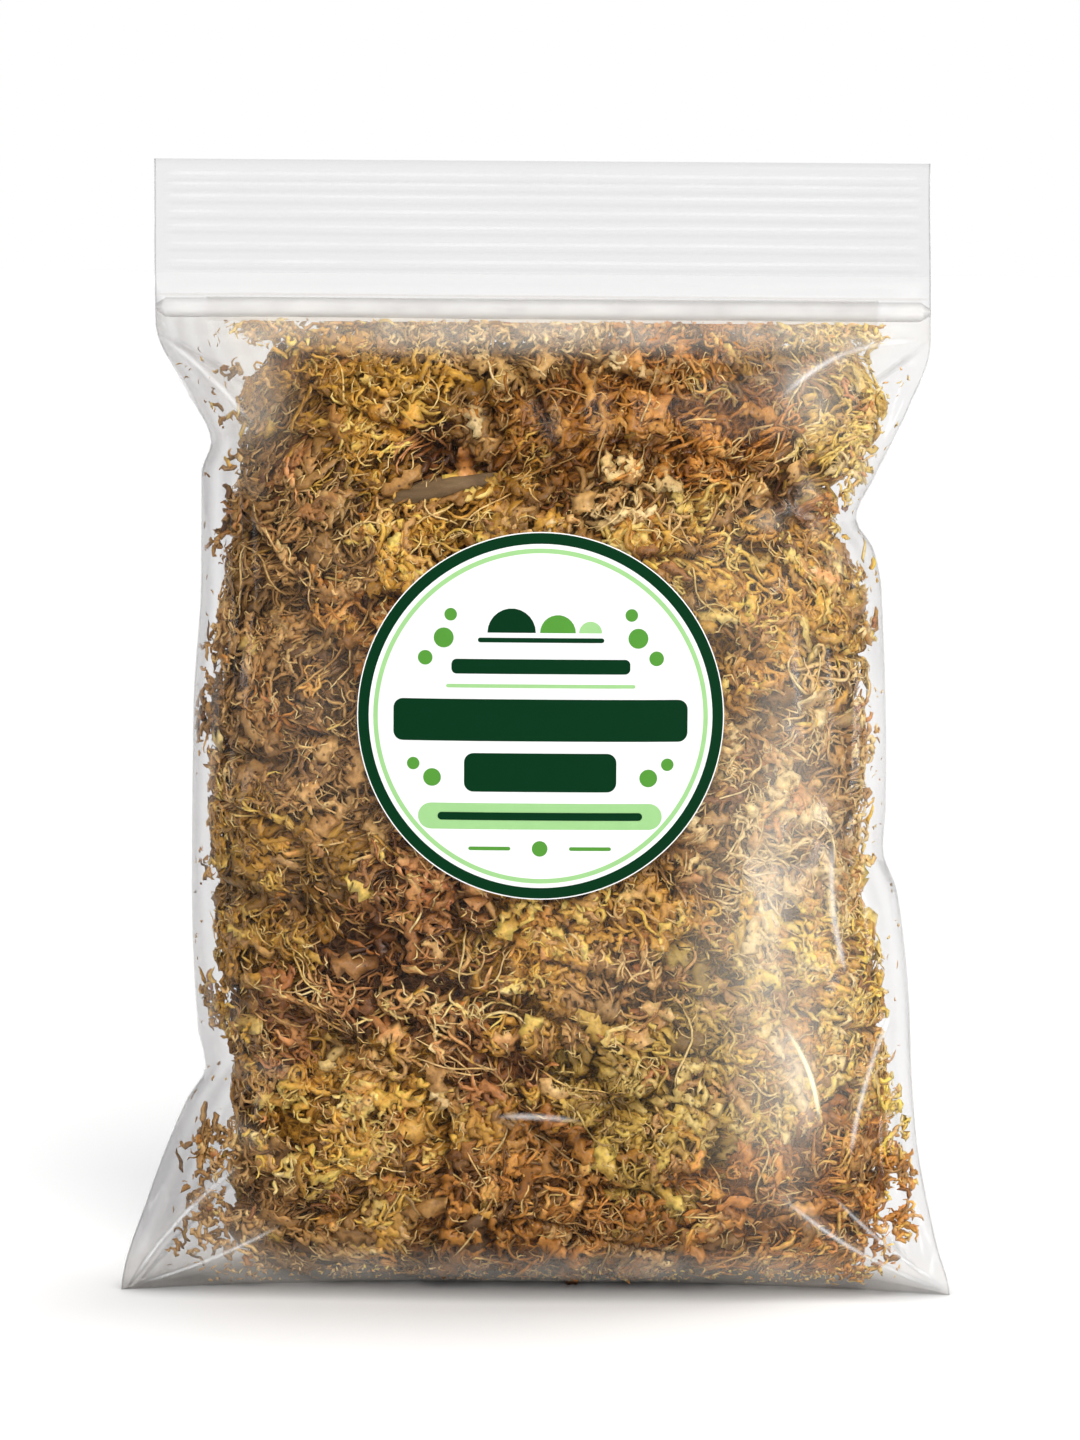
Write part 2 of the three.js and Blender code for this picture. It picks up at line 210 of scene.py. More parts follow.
def noise_at(tree, scale, detail=3.0, roughness=0.55, distortion=0.0, stretch=(1, 1, 1)):
    """Noise on Object coordinates, in lumps per metre."""
    noise = tree.nodes.new("ShaderNodeTexNoise")
    noise.inputs["Scale"].default_value = scale
    noise.inputs["Detail"].default_value = detail
    noise.inputs["Roughness"].default_value = roughness
    noise.inputs["Distortion"].default_value = distortion
    tree.links.new(object_coordinates(tree, stretch), noise.inputs["Vector"])
    return noise.outputs["Fac"]


def facets_at(tree, scale, stretch=(1, 1, 1)):
    """Cells, from the distance to the nearest of scattered points: facets of film, or pits in leaves."""
    facets = tree.nodes.new("ShaderNodeTexVoronoi")
    facets.inputs["Scale"].default_value = scale
    tree.links.new(object_coordinates(tree, stretch), facets.inputs["Vector"])
    return facets.outputs["Distance"]


def tangle_at(tree, scale, warp_scale, warp):
    """A net of crossing strands: the distance from the nearest strand's middle, in cells."""
    place = object_coordinates(tree)
    swirl = tree.nodes.new("ShaderNodeTexNoise")
    swirl.inputs["Scale"].default_value = warp_scale
    bent = tree.nodes.new("ShaderNodeVectorMath")
    bent.operation = "MULTIPLY_ADD"
    bent.inputs[1].default_value = (warp, warp, warp)
    net = tree.nodes.new("ShaderNodeTexVoronoi")
    net.feature = "DISTANCE_TO_EDGE"
    net.inputs["Scale"].default_value = scale
    tree.links.new(place, swirl.inputs["Vector"])
    tree.links.new(swirl.outputs["Color"], bent.inputs[0])
    tree.links.new(place, bent.inputs[2])
    tree.links.new(bent.outputs["Vector"], net.inputs["Vector"])
    return net.outputs["Distance"]


def ramp(tree, factor, *stops):
    """Colours along a factor, from stops of position and colour."""
    node = tree.nodes.new("ShaderNodeValToRGB")
    elements = node.color_ramp.elements
    while len(elements) < len(stops):
        elements.new(0.5)
    for element, (position, colour) in zip(elements, stops):
        element.position = position
        element.color = (*colour, 1)
    tree.links.new(factor, node.inputs["Fac"])
    return node.outputs["Color"]


def grey_ramp(tree, factor, *stops):
    """Greys along a factor, from stops of position and brightness."""
    return ramp(tree, factor, *[(position, (grey, grey, grey)) for position, grey in stops])


def maths(tree, operation, first, second):
    node = tree.nodes.new("ShaderNodeMath")
    node.operation = operation
    feed(tree, node.inputs[0], first)
    feed(tree, node.inputs[1], second)
    return node.outputs[0]


def multiply(tree, first, second):
    """The product of two colours."""
    mix = tree.nodes.new("ShaderNodeMix")
    mix.data_type = "RGBA"
    mix.blend_type = "MULTIPLY"
    mix.inputs["Factor"].default_value = 1.0
    tree.links.new(first, mix.inputs["A"])
    tree.links.new(second, mix.inputs["B"])
    return mix.outputs["Result"]


def attribute(tree, name, output="Fac"):
    """The number or the colour that a piece gives for each of its points."""
    node = tree.nodes.new("ShaderNodeAttribute")
    node.attribute_name = name
    return node.outputs[output]


def bump_from(tree, height, strength, distance, under=None):
    """Relief from a height, on top of the relief under it."""
    bump = tree.nodes.new("ShaderNodeBump")
    bump.inputs["Distance"].default_value = distance
    feed(tree, bump.inputs["Strength"], strength)
    tree.links.new(height, bump.inputs["Height"])
    if under is not None:
        tree.links.new(under, bump.inputs["Normal"])
    return bump.outputs["Normal"]


def mix_shaders(tree, factor, first, second):
    mix = tree.nodes.new("ShaderNodeMixShader")
    for socket, output in zip(mix.inputs, (factor, first, second)):
        tree.links.new(output, socket)
    return mix.outputs[0]


def dress(tree, colour, roughness, shine, relief=None):
    """Gives a solid surface its colour, roughness, shine and fine relief."""
    shader = tree.nodes["Principled BSDF"]
    tree.links.new(colour, shader.inputs["Base Color"])
    shader.inputs["Roughness"].default_value = roughness
    shader.inputs["Specular IOR Level"].default_value = shine
    if relief is not None:
        tree.links.new(relief, shader.inputs["Normal"])


def film_milkiness(tree, haze, worn_and_painted):
    """How milky the film is: unevenly all over, and on the bag's film with drawn-out streaks of its fog,
    which holds milk and painted highlights.
    """
    milkiness = grey_ramp(tree, noise_at(tree, 55.0, 2.0), (0.3, haze * 0.5), (0.75, haze * 1.6))
    if worn_and_painted:
        streaks = grey_ramp(tree, noise_at(tree, 60.0, 3.0, stretch=(1, 1, 0.3)), (0.35, 0.5), (0.65, 1.2))
        fog = maths(tree, "MULTIPLY", attribute(tree, "haze"), streaks)
        milkiness = maths(tree, "ADD", milkiness, fog)
    return milkiness


def film_normal(tree, worn_and_painted):
    """A fine ripple, and on the bag's film the facets of its crumples."""
    normal = bump_from(tree, noise_at(tree, 420.0, 2.0), 0.12, 0.0004)
    if worn_and_painted:
        facets = facets_at(tree, 90.0, (1.6, 1.6, 0.4))
        normal = bump_from(tree, facets, attribute(tree, "crumple"), 0.004, normal)
    return normal


def clear_plastic(
    name, tint=WHITE, glancing_tint=None, haze=0.0, gloss=0.0, edge_gloss=0.0, roughness=0.4,
    milk_colour=(0.86, 0.86, 0.87), worn_and_painted=False, soft=True
):
    """Thin clear plastic with a little milk. At a glancing angle it is greyer and has more gloss.

    The bag's film also reads at each point how crumpled it is, its fog of milk and painted highlights, and
    its grey, which is mostly painted shade. Soft threads fade out sideways.
    """
    material, tree = new_material(name)
    nodes = tree.nodes
    milk = nodes["Principled BSDF"]
    milk.inputs["Base Color"].default_value = (*milk_colour, 1)
    milk.inputs["Roughness"].default_value = 0.6
    milk.inputs["Specular IOR Level"].default_value = 0.0
    layer = nodes.new("ShaderNodeLayerWeight")
    layer.inputs["Blend"].default_value = 0.5
    facing = greyness = layer.outputs["Facing"]
    if worn_and_painted:
        greyness = maths(tree, "ADD", maths(tree, "MULTIPLY", facing, 0.6), attribute(tree, "grey"))
    clear = nodes.new("ShaderNodeBsdfTransparent")
    tree.links.new(ramp(tree, greyness, (0.12, tint), (1.0, glancing_tint or tint)), clear.inputs["Color"])
    glossy = nodes.new("ShaderNodeBsdfGlossy")
    glossy.inputs["Roughness"].default_value = roughness
    tree.links.new(film_normal(tree, worn_and_painted), glossy.inputs["Normal"])
    glancing = maths(tree, "POWER", facing, 3.5)
    sheen = maths(tree, "ADD", maths(tree, "MULTIPLY", glancing, edge_gloss), gloss)
    body = mix_shaders(tree, film_milkiness(tree, haze, worn_and_painted), clear.outputs[0], milk.outputs[0])
    skin = mix_shaders(tree, sheen, body, glossy.outputs[0])
    lit_through = nodes.new("ShaderNodeBsdfTransparent").outputs[0]
    if soft:
        skin = mix_shaders(tree, attribute(tree, "soft"), lit_through, skin)
    ray = nodes.new("ShaderNodeLightPath")
    surface = mix_shaders(tree, ray.outputs["Is Shadow Ray"], skin, lit_through)
    tree.links.new(surface, nodes["Material Output"].inputs["Surface"])
    return material


def clear_film():
    """The bag's film: clear and glossy, with warm milk where it is hazy. The same milk also paints glows and
    fold highlights, and its grey tint paints shade.
    """
    return clear_plastic(
        "clear_film", CLEAR, (0.872, 0.869, 0.87), haze=0.001, gloss=0.004, edge_gloss=0.45, roughness=0.12,
        milk_colour=(0.84, 0.78, 0.68), worn_and_painted=True, soft=False
    )


def weld_white_and_fold_highlight_film():
    """Film at a weld, which has gone white; the same white film along a sharp fold is a painted highlight."""
    return clear_plastic(
        "weld_white_and_fold_highlight_film", CLEAR, (0.94, 0.94, 0.945), haze=0.2, gloss=0.005, edge_gloss=0.12, roughness=0.3,
        milk_colour=BRIGHT_MILK
    )


def scuffed_film():
    """Film with a dull scuff."""
    return clear_plastic("scuffed_film", haze=0.2, milk_colour=(0.83, 0.825, 0.815))


def glint_paint_film():
    """A painted highlight: bright warm milk for the glint of film pulled taut over a fold, where it catches
    the light.
    """
    return clear_plastic("glint_paint_film", haze=0.9, milk_colour=(0.98, 0.93, 0.7))


def rib_film():
    """The thicker film of the lip's ribs."""
    return clear_plastic("rib_film", haze=0.07, milk_colour=BRIGHT_MILK)


def rib_shadow_film():
    """A painted shadow: the duller, greyer line below each of the lip's ribs."""
    return clear_plastic("rib_shadow_film", (0.972, 0.972, 0.974), haze=0.01)


def pressed_film():
    """Film pressed flat over the zip."""
    return clear_plastic(
        "pressed_film", CLEAR, haze=0.45, gloss=0.004, edge_gloss=0.03, roughness=0.3,
        milk_colour=(0.7, 0.688, 0.676), soft=False
    )


def zip_line():
    """A thin, faintly brown line above the zip."""
    return clear_plastic(
        "zip_line", (0.96, 0.95, 0.94), haze=0.04, edge_gloss=0.03, roughness=0.3,
        milk_colour=(0.6, 0.5, 0.42)
    )


def zip_plastic():
    """The milky plastic of the zip's strips."""
    return clear_plastic(
        "zip_plastic", (0.99, 0.99, 0.99), CLEAR, haze=2.2, gloss=0.005, edge_gloss=0.03, roughness=0.3,
        milk_colour=(0.66, 0.648, 0.635), soft=False
    )


def dry_moss():
    """Dry moss: each strand has its own tint, mottled, with small holes painted as dark dots of shade, and a
    faint dry gloss.
    """
    material, tree = new_material("dry_moss")
    mottle = noise_at(tree, 900.0, 3.0, 0.6)
    shade = ramp(tree, mottle, (0.3, (0.6, 0.54, 0.46)), (0.55, WHITE), (0.8, (1.3, 1.28, 1.2)))
    # painted shade: small holes drawn as dark dots
    painted_holes = ramp(tree, facets_at(tree, 640.0), (0.1, (0.22, 0.17, 0.13)), (0.24, WHITE))
    tint = multiply(tree, attribute(tree, "tint", "Color"), painted_holes)
    relief = bump_from(tree, noise_at(tree, 2600.0, 2.0), 0.35, 0.0002)
    dress(tree, multiply(tree, tint, shade), 0.33, 0.35, relief)
    return material


def shaded_moss():
    """The moss deep in the pack: a matted net of strands, with painted shade in its small dark gaps."""
    material, tree = new_material("shaded_moss")
    net = tangle_at(tree, 560.0, 260.0, 0.0035)
    strands = ramp(tree, net, (0.04, WHITE), (0.16, (0.62, 0.56, 0.5)), (0.34, (0.2, 0.15, 0.12)))
    mottle = ramp(tree, noise_at(tree, 700.0, 3.0), (0.3, (0.55, 0.5, 0.42)), (0.7, (1.15, 1.15, 1.1)))
    tint = multiply(tree, attribute(tree, "tint", "Color"), strands)
    dress(tree, multiply(tree, tint, mottle), 0.7, 0.2, bump_from(tree, strands, 0.8, 0.0012))
    return material


def twig_bark():
    """Smooth grey-brown bark with fine stripes along it."""
    material, tree = new_material("twig_bark")
    stripes = noise_at(tree, 500.0, 4.0, 0.6, 0.3, (0.15, 1, 1))
    browns = (0.3, (0.10, 0.06, 0.027)), (0.6, (0.17, 0.105, 0.05)), (0.8, (0.25, 0.16, 0.085))
    dress(tree, ramp(tree, stripes, *browns), 0.6, 0.15, bump_from(tree, stripes, 0.4, 0.0004))
    return material


def print_material(name, colour):
    """Ink or paper of the label: a flat print with a faint mottle and the paper's fine tooth."""
    material, tree = new_material(name)
    shade = ramp(tree, noise_at(tree, 300.0, 4.0), (0.3, tuple(c * 0.95 for c in colour)), (0.7, colour))
    dress(tree, shade, 0.6, 0.05, bump_from(tree, noise_at(tree, 1800.0, 2.0), 0.05, 0.0002))
    return material


def white_floor():
    """A pale matt floor with a painted contact shadow: its colour is darker where something stands close over
    it.
    """
    material, tree = new_material("white_floor")
    shade = grey_ramp(tree, noise_at(tree, 3.0, 2.0), (0.3, 0.765), (0.7, 0.785))
    openness = tree.nodes.new("ShaderNodeAmbientOcclusion")
    openness.samples = 8
    openness.inputs["Distance"].default_value = CONTACT_REACH
    # painted contact shadow: the floor's colour is darkened where it is closed in
    painted_contact_shadow = grey_ramp(tree, openness.outputs["AO"], (0.2, 0.42), (0.55, 0.68), (0.85, 1.0))
    dress(tree, multiply(tree, shade, painted_contact_shadow), 0.8, 0.1)
    return material


# ---- Making pieces ----
def mesh_piece(name, points, faces, material):
    """An object from points in millimetres and rows of vertex numbers, all rows of one length."""
    mesh = bpy.data.meshes.new(name)
    size = faces.shape[1]
    mesh.vertices.add(len(points))
    mesh.vertices.foreach_set("co", (points * MM).astype(np.float32).ravel())
    mesh.loops.add(faces.size)
    mesh.loops.foreach_set("vertex_index", faces.astype(np.int32).ravel())
    mesh.polygons.add(len(faces))
    mesh.polygons.foreach_set("loop_start", np.arange(0, faces.size, size, dtype=np.int32))
    mesh.update(calc_edges=True)
    mesh.materials.append(material)
    piece = bpy.data.objects.new(name, mesh)
    bpy.context.collection.objects.link(piece)
    return piece


def only(piece):
    bpy.ops.object.select_all(action="DESELECT")
    piece.select_set(True)
    bpy.context.view_layer.objects.active = piece


def apply_modifier(piece, kind, **settings):
    modifier = piece.modifiers.new(kind.title(), kind)
    for name, value in settings.items():
        setattr(modifier, name, value)
    only(piece)
    bpy.ops.object.modifier_apply(modifier=modifier.name)


def shade_smooth(piece):
    piece.data.polygons.foreach_set("use_smooth", np.ones(len(piece.data.polygons), bool))


def add_values(piece, name, values):
    """A number for each point of a piece, for its material to read."""
    layer = piece.data.attributes.new(name, "FLOAT", "POINT")
    layer.data.foreach_set("value", values.astype(np.float32))


def add_tints(piece, tints):
    """A colour for each point of a piece, for its material to read."""
    colours = np.ones((len(tints), 4), np.float32)
    colours[:, :3] = tints
    layer = piece.data.color_attributes.new("tint", "FLOAT_COLOR", "POINT")
    layer.data.foreach_set("color", colours.ravel())


def points_of(piece):
    """The points of a piece, in millimetres."""
    points = np.empty(len(piece.data.vertices) * 3, np.float32)
    piece.data.vertices.foreach_get("co", points)
    return points.reshape(-1, 3).astype(float) / MM


def grid_faces(rows, columns, closed=True, turned=False):
    """Four-sided faces between rows of points. Closed rows are rings, and turned faces look the other way."""
    starts, steps = np.arange(rows - 1) * columns, np.arange(columns if closed else columns - 1)
    row, column = np.meshgrid(starts, steps, indexing="ij")
    corner, following = (row + column).ravel(), (row + (column + 1) % columns).ravel()
    faces = np.stack([corner, following, following + columns, corner + columns], -1)
    return faces[:, [0, 3, 2, 1]] if turned else faces


def thread(name, path, half_width, rise, material, out=(0, -1, 0), fading=0.01):
    """A closed four-sided thread along a path in millimetres.

    It is thinner at its ends, and clear at its sides and ends. Fading is the share of it that each end takes.
    """
    run = unit(np.gradient(path, axis=0))
    side = unit(np.cross(run, np.array(out, float)))
    up = np.cross(side, run)
    s = np.linspace(0, 1, len(path))[:, None]
    taper = np.minimum(1, 0.3 + 1.4 * np.minimum(s, 1 - s) / fading)
    rings = np.stack([
        path + side * half_width * taper, path + up * rise * taper,
        path - side * half_width * taper, path - up * rise * 0.4 * taper,
    ], 1).reshape(-1, 3)
    last = len(rings) - 4
    ends = [[0, 1, 2, 3], [last + 3, last + 2, last + 1, last]]
    faces = np.concatenate([grid_faces(len(path), 4, turned=True), ends])
    piece = mesh_piece(name, rings, faces, material)
    fade = smooth(0, fading, s) * smooth(0, fading, 1 - s)
    add_values(piece, "soft", (fade * np.array([[0.0, 1.0, 0.0, 1.0]])).ravel())
    return piece


def start_editing(piece):
    """Edit mode, with the whole of a piece selected."""
    only(piece)
    bpy.ops.object.mode_set(mode="EDIT")
    bpy.ops.mesh.select_all(action="SELECT")


def stop_editing():
    bpy.ops.object.mode_set(mode="OBJECT")


def close_up(piece):
    """Fills the open ends of a piece and turns its faces outwards."""
    start_editing(piece)
    bpy.ops.mesh.fill_holes(sides=0)
    bpy.ops.mesh.normals_make_consistent(inside=False)
    stop_editing()


def join(name, pieces):
    bpy.ops.object.select_all(action="DESELECT")
    for piece in pieces:
        piece.select_set(True)
    bpy.context.view_layer.objects.active = pieces[0]
    if len(pieces) > 1:
        bpy.ops.object.join()
    pieces[0].name = name
    pieces[0].data.name = name
    return pieces[0]


# ---- Camera, light and floor ----
CAMERA_RISE = math.radians(7)
CAMERA_DISTANCE = 0.76
LOOK_AT = Vector((0.0001, 0.004, 0.1114))
FRAME_HEIGHT = 0.2851  # what the frame spans at the bag's distance
SENSOR = 36.0
CAMERA_ROLL = math.radians(0.4)


def place_camera():
    data = bpy.data.cameras.new("camera")
    data.sensor_width = SENSOR
    data.sensor_fit = "AUTO"
    data.lens = SENSOR * CAMERA_DISTANCE / FRAME_HEIGHT
    camera = bpy.data.objects.new("camera", data)
    bpy.context.collection.objects.link(camera)
    back = Vector((0, -math.cos(CAMERA_RISE), math.sin(CAMERA_RISE)))
    camera.location = LOOK_AT + back * CAMERA_DISTANCE
    camera.rotation_euler = back.to_track_quat("Z", "Y").to_euler()
    camera.rotation_euler.rotate_axis("Z", CAMERA_ROLL)
    bpy.context.scene.camera = camera


def add_light(name, kind, place, power, seen_in_gloss=False, seen_in_matt=True, **shape):
    """A light at a place in metres, aimed at the middle of the bag."""
    light = bpy.data.lights.new(name, kind)
    light.energy = power
    for key, value in shape.items():
        setattr(light, key, value)
    lamp = bpy.data.objects.new(name, light)
    bpy.context.collection.objects.link(lamp)
    lamp.location = place
    lamp.rotation_euler = (Vector(place) - Vector((0, 0, 0.11))).to_track_quat("Z", "Y").to_euler()
    lamp.visible_glossy = seen_in_gloss
    lamp.visible_diffuse = seen_in_matt


def glow(background, colour, strength):
    background.inputs["Color"].default_value = (*colour, 1)
    background.inputs["Strength"].default_value = strength
    return background.outputs[0]


def surround_with_light():
    """Even light from all round, which the camera sees as white and gloss mirrors only dimly."""
    world = bpy.data.worlds.new("studio")
    bpy.context.scene.world = world
    world.use_nodes = True
    tree = world.node_tree
    ambient = glow(tree.nodes["Background"], (0.98, 0.985, 1), 0.72)
    backdrop = glow(tree.nodes.new("ShaderNodeBackground"), WHITE, 1.0)
    mirrored = glow(tree.nodes.new("ShaderNodeBackground"), WHITE, 0.32)
    ray = tree.nodes.new("ShaderNodeLightPath")
    lit = mix_shaders(tree, ray.outputs["Is Glossy Ray"], ambient, mirrored)
    seen = mix_shaders(tree, ray.outputs["Is Camera Ray"], lit, backdrop)
    tree.links.new(seen, tree.nodes["World Output"].inputs["Surface"])


def light_the_studio():
    surround_with_light()
    add_light(
        "front_sun", "SUN", (0.42, -0.79, 1.25), 1.32, seen_in_gloss=True, angle=math.radians(28),
        color=(1, 0.97, 0.92)
    )
    add_light("top_sun", "SUN", (0.3, 0.16, 1.3), 1.2, angle=math.radians(16))
    add_light("front_fill", "AREA", (0.1, -1.3, 0.5), 7.5, shape="SQUARE", size=0.9)
    for name, place, power, width, height in (
        ("side_box", (0.62, -0.5, 0.06), 4.5, 0.22, 0.34), ("left_strip", (-0.8, -0.3, 0.2), 1.2, 0.08, 0.6)
    ):
        add_light(
            name, "AREA", place, power, seen_in_gloss=True, seen_in_matt=False, shape="RECTANGLE", size=width,
            size_y=height
        )


def lay_floor():
    bpy.ops.object.select_all(action="DESELECT")
    bpy.ops.mesh.primitive_plane_add(size=60)
    floor = bpy.context.object
    floor.name = "floor"
    floor.data.materials.append(white_floor())


# ---- The film ----
LIP_RIBS = (217.4, 215.5, 213.1, 210.1, 207.3, 203.9, 200.5)
# Folds of each wall: start, end, bow, width and height
FRONT_CREASES = (
    # the left ear
    ((-80, 1), (-57, 27), 1.5, 1.4, 1.6), ((-79, 1), (-49, 15), -1.0, 1.3, 1.3),
    ((-76, 8), (-63, 40), 1.0, 1.2, 1.0),
    # the lower left notch
    ((-66, 42), (-44, 45), 1.0, 1.6, 1.0), ((-66, 41), (-50, 28), -1.0, 1.5, 1.1),
    ((-66, 44), (-55, 60), 1.0, 1.5, 0.9),
    # the right ear
    ((80, 1), (46, 23), 2.0, 1.4, 1.7), ((80, 2), (57, 22), 1.0, 1.2, 1.3),
    ((78, 8), (70, 44), 1.0, 1.2, 0.9),
    # the long folds and the notches of the right side
    ((57, 92), (60, 64), -1.5, 2.0, 1.4), ((70, 58), (61, 27), -1.5, 1.8, 1.3),
    ((67, 88), (52, 97), 1.0, 1.5, 0.9), ((75, 187), (45, 175), -3.5, 1.8, 1.6),
    ((62, 152), (48, 163), 1.0, 1.6, 1.1), ((63, 151), (50, 144), 1.0, 1.5, 1.0),
    ((64, 155), (60, 174), 1.0, 1.6, 1.2),
    # the upper left notch and corner
    ((-65, 166), (-50, 171), 1.0, 1.6, 1.2), ((-65, 165), (-52, 156), -1.0, 1.5, 1.0),
    ((-75, 187), (-56, 170), 1.0, 1.8, 1.5), ((-66, 168), (-63, 184), 1.0, 1.4, 1.1),
    ((-75, 185), (-65, 167), 0.8, 1.3, 1.3),
)
BACK_CREASES = (
    ((-78, 1), (-48, 26), 1.0, 1.5, 1.5), ((78, 1), (50, 30), 1.0, 1.5, 1.5),
    ((-66, 42), (-40, 50), 1.0, 1.7, 1.2), ((67, 88), (44, 98), 1.0, 1.7, 1.2),
    ((63, 151), (40, 158), 1.0, 1.7, 1.2), ((-65, 166), (-40, 161), 1.0, 1.7, 1.2),
    ((-75, 187), (-50, 170), 1.0, 1.9, 1.4), ((76, 187), (52, 170), 1.0, 1.9, 1.4),
    ((-20, 30), (16, 56), 1.5, 2.0, 0.9), ((-30, 120), (4, 96), 1.5, 2.0, 0.9),
)
# The line of a sharp fold is drawn in white film, a painted highlight
SHARP = 1.3  # folds at least this high are pressed sharp, and show as a line
WELD_GAP = 0.26  # where the walls come this close, they are welded
WELD_RADIUS = 0.32
MARK_LIFT = 0.45
FOLD_LIFT = 0.5
MARK_RISE = 0.12
# The dull scuff and the painted glint of a taut fold on each wall: start, end, bow and half width
SCUFFS = {"front": ((-9, 38.1), (9.5, 37.5), 0.4, 0.9), "back": ((12, 70), (24, 74), 0.4, 0.9)}
GLINTS = {"front": ((47.3, 56), (55.2, 34.5), 1.6, 0.75), "back": ((-50, 60), (-54, 44), 1.0, 0.5)}
# Patches of fog in the film: x, z, half width, half height and amount. Some are milky haze; the glow on the
# right side, the soft blobs by the right notch and the streak of blobs along the lower right glint are
# painted highlights.
HAZE_AND_GLOWS = (
    (48, 64, 13, 34, 0.21), (51, 104, 12, 24, 0.13), (60, 182, 14, 7, 0.12), (-60, 184, 10, 6, 0.12),
    (-64, 12, 9, 7, 0.06), (18, 66, 22, 12, 0.02), (40, 138, 14, 12, 0.06), (66, 164, 8, 8, 0.08),
    (62, 56, 8, 20, 0.07), (-46, 116, 14, 26, 0.025), (54, 174, 7, 6, 0.16), (62, 142, 5, 12, 0.1),
    (43.5, 152.5, 2.6, 1.7, 0.2), (51.5, 157.5, 1.7, 2.6, 0.2), (53.5, 150.5, 2.2, 2.2, 0.24),
    (57, 145, 2.0, 2.6, 0.24), (48, 52, 2.0, 3.5, 0.16), (51, 46, 2.0, 4.0, 0.2), (53, 39, 2.0, 4.0, 0.14),
    (-57, 173, 6, 9, 0.22),
)


def crease_path(start, end, bow, t):
    """Points on a fold's line, which bows to its left."""
    run = np.array(end, float) - np.array(start, float)
    lean_out = np.sin(math.pi * t) * bow / np.hypot(*run)
    return start[0] + run[0] * t - run[1] * lean_out, start[1] + run[1] * t + run[0] * lean_out


def crease(x, z, start, end, bow, width, height):
    """A fold from start to end, highest in its middle, that fades at both ends."""
    start, end = np.array(start, float), np.array(end, float)
    along = end - start
    length = np.hypot(*along)
    dx, dz = x - start[0], z - start[1]
    t = (dx * along[0] + dz * along[1]) / length**2
    arch = bow * np.sin(math.pi * np.clip(t, 0, 1))
    off = (dz * along[0] - dx * along[1]) / length - arch
    fade = np.clip(4 * t * (1 - t), 0, 1)
    return height * fade * np.exp(-np.abs(off / width) ** 1.3)


def film_relief(x, z, share, side):
    """How far the film stands out of its smooth shape: lumps, folds, crumple and the sway of the lips."""
    body = smooth(2, 14, z) * (1 - smooth(176, 188, z))
    free = smooth(1, 12, from_label(x, z)) if side < 0 else 1
    relief = billow(x, z, side)
    for fold in FRONT_CREASES if side < 0 else BACK_CREASES:
        relief = relief + crease(x, z, *fold) * free
    seed = 3 if side < 0 else 5
    crumple = 0.6 * np.abs(lattice_noise(x / 13 + z / 40, z / 19 - x / 50, seed))
    crumple = crumple + 0.25 * np.abs(lattice_noise(x / 5.5, z / 6.5, seed + 1))
    edge = smooth(0.78, 0.97, np.abs(share))
    from_edge = np.where(share > 0, right_edge(z) - x, x - left_edge(z))
    pleats = 0.6 * edge * np.sin(from_edge * 1.3 + 2.2 * lattice_noise(z / 45, share * 2 + side, seed + 2))
    ripple = pleats + 0.25 * edge * (1 - edge * 0.4) * np.sin(z / 7 + 2.2 * np.sin(z / 17 + side) + 3 * share)
    sway = 0.35 * lattice_noise(x / 34, z / 60, 9) * smooth(196, 204, z)
    return relief + (crumple * free + ripple) * body + side * sway


def film_point(share, z, side):
    """Points of one wall of the bag; side -1 is the front."""
    left, right = left_edge(z), right_edge(z)
    x = (left + right) / 2 + share * (right - left) / 2
    swell = fullness(share, z)
    seam = 0.12
    depth = seam + (half_depth(z) - seam) * swell + film_relief(x, z, share, side) * smooth(0, 0.25, swell)
    return np.stack([x, mid_surface(share, z) + side * np.maximum(depth, seam), z], -1)


def film_rows():
    """Rows of points of the film: down the front, across the base and up the back."""
    levels = np.concatenate([[0.0, 0.5], np.arange(MOSS_BASE, 197, 1.75), np.arange(197, TOP, 2.4), [TOP]])
    columns, base_steps, spread = 89, 8, 1.45
    shares = np.sin(np.linspace(-spread, spread, columns)) / math.sin(spread)
    z, share = np.meshgrid(levels, shares, indexing="ij")
    front, back = film_point(share, z, -1), film_point(share, z, 1)
    base = [front[0] + (back[0] - front[0]) * k / base_steps for k in range(1, base_steps)]
    return np.concatenate([front[::-1], np.array(base), back])


def film_fog_and_glow(x, z):
    """Fog in the film: milk with a painted reflection under the zip, milk at the base, milk and painted
    highlights in patches, and painted highlights along the folds.
    """
    fog = 0.17 * smooth(182, 188.5, z) * (1 - smooth(190.5, 191.2, z)) + 0.14 * (1 - smooth(3, 12, z))
    for *patch, amount in HAZE_AND_GLOWS:
        fog = fog + amount * bell(x, z, *patch)
    # painted highlight along each fold
    for fold in FRONT_CREASES:
        fog = fog + 0.1 * crease(x, z, *fold) ** 1.5
    return fog


def film_greyness(x, z, margin, calm):
    """How grey the film is: painted shade in the striped margins, greyer on the left than on the right, in
    the ears, along the folds and at the base; and grey at the lips.
    """
    from_side = np.minimum(x - left_edge(z), right_edge(z) - x)
    stripes = 0.5 + 0.5 * np.sin(from_side * 1.6 + 1.5 * lattice_noise(x * 0, z / 30, 8))
    ears = np.where(x < 0, 0.3, 0.1) * (1 - smooth(10, 44, z)) + 0.2 * smooth(150, 180, z)
    # painted shade: the left margin and ear greyer, the right margin lighter
    grey = calm * np.where(x < 0, 0.85, -0.35) * (0.35 + 0.35 * stripes + ears)
    # painted shade along each fold
    for fold in FRONT_CREASES:
        grey = grey + 0.3 * crease(x, z, *fold)
    lips = 0.16 * smooth(195, 198, z)
    base = 0.4 * (1 - smooth(0.5, 4.5, z)) * (1 - margin)
    return margin * grey + lips + base


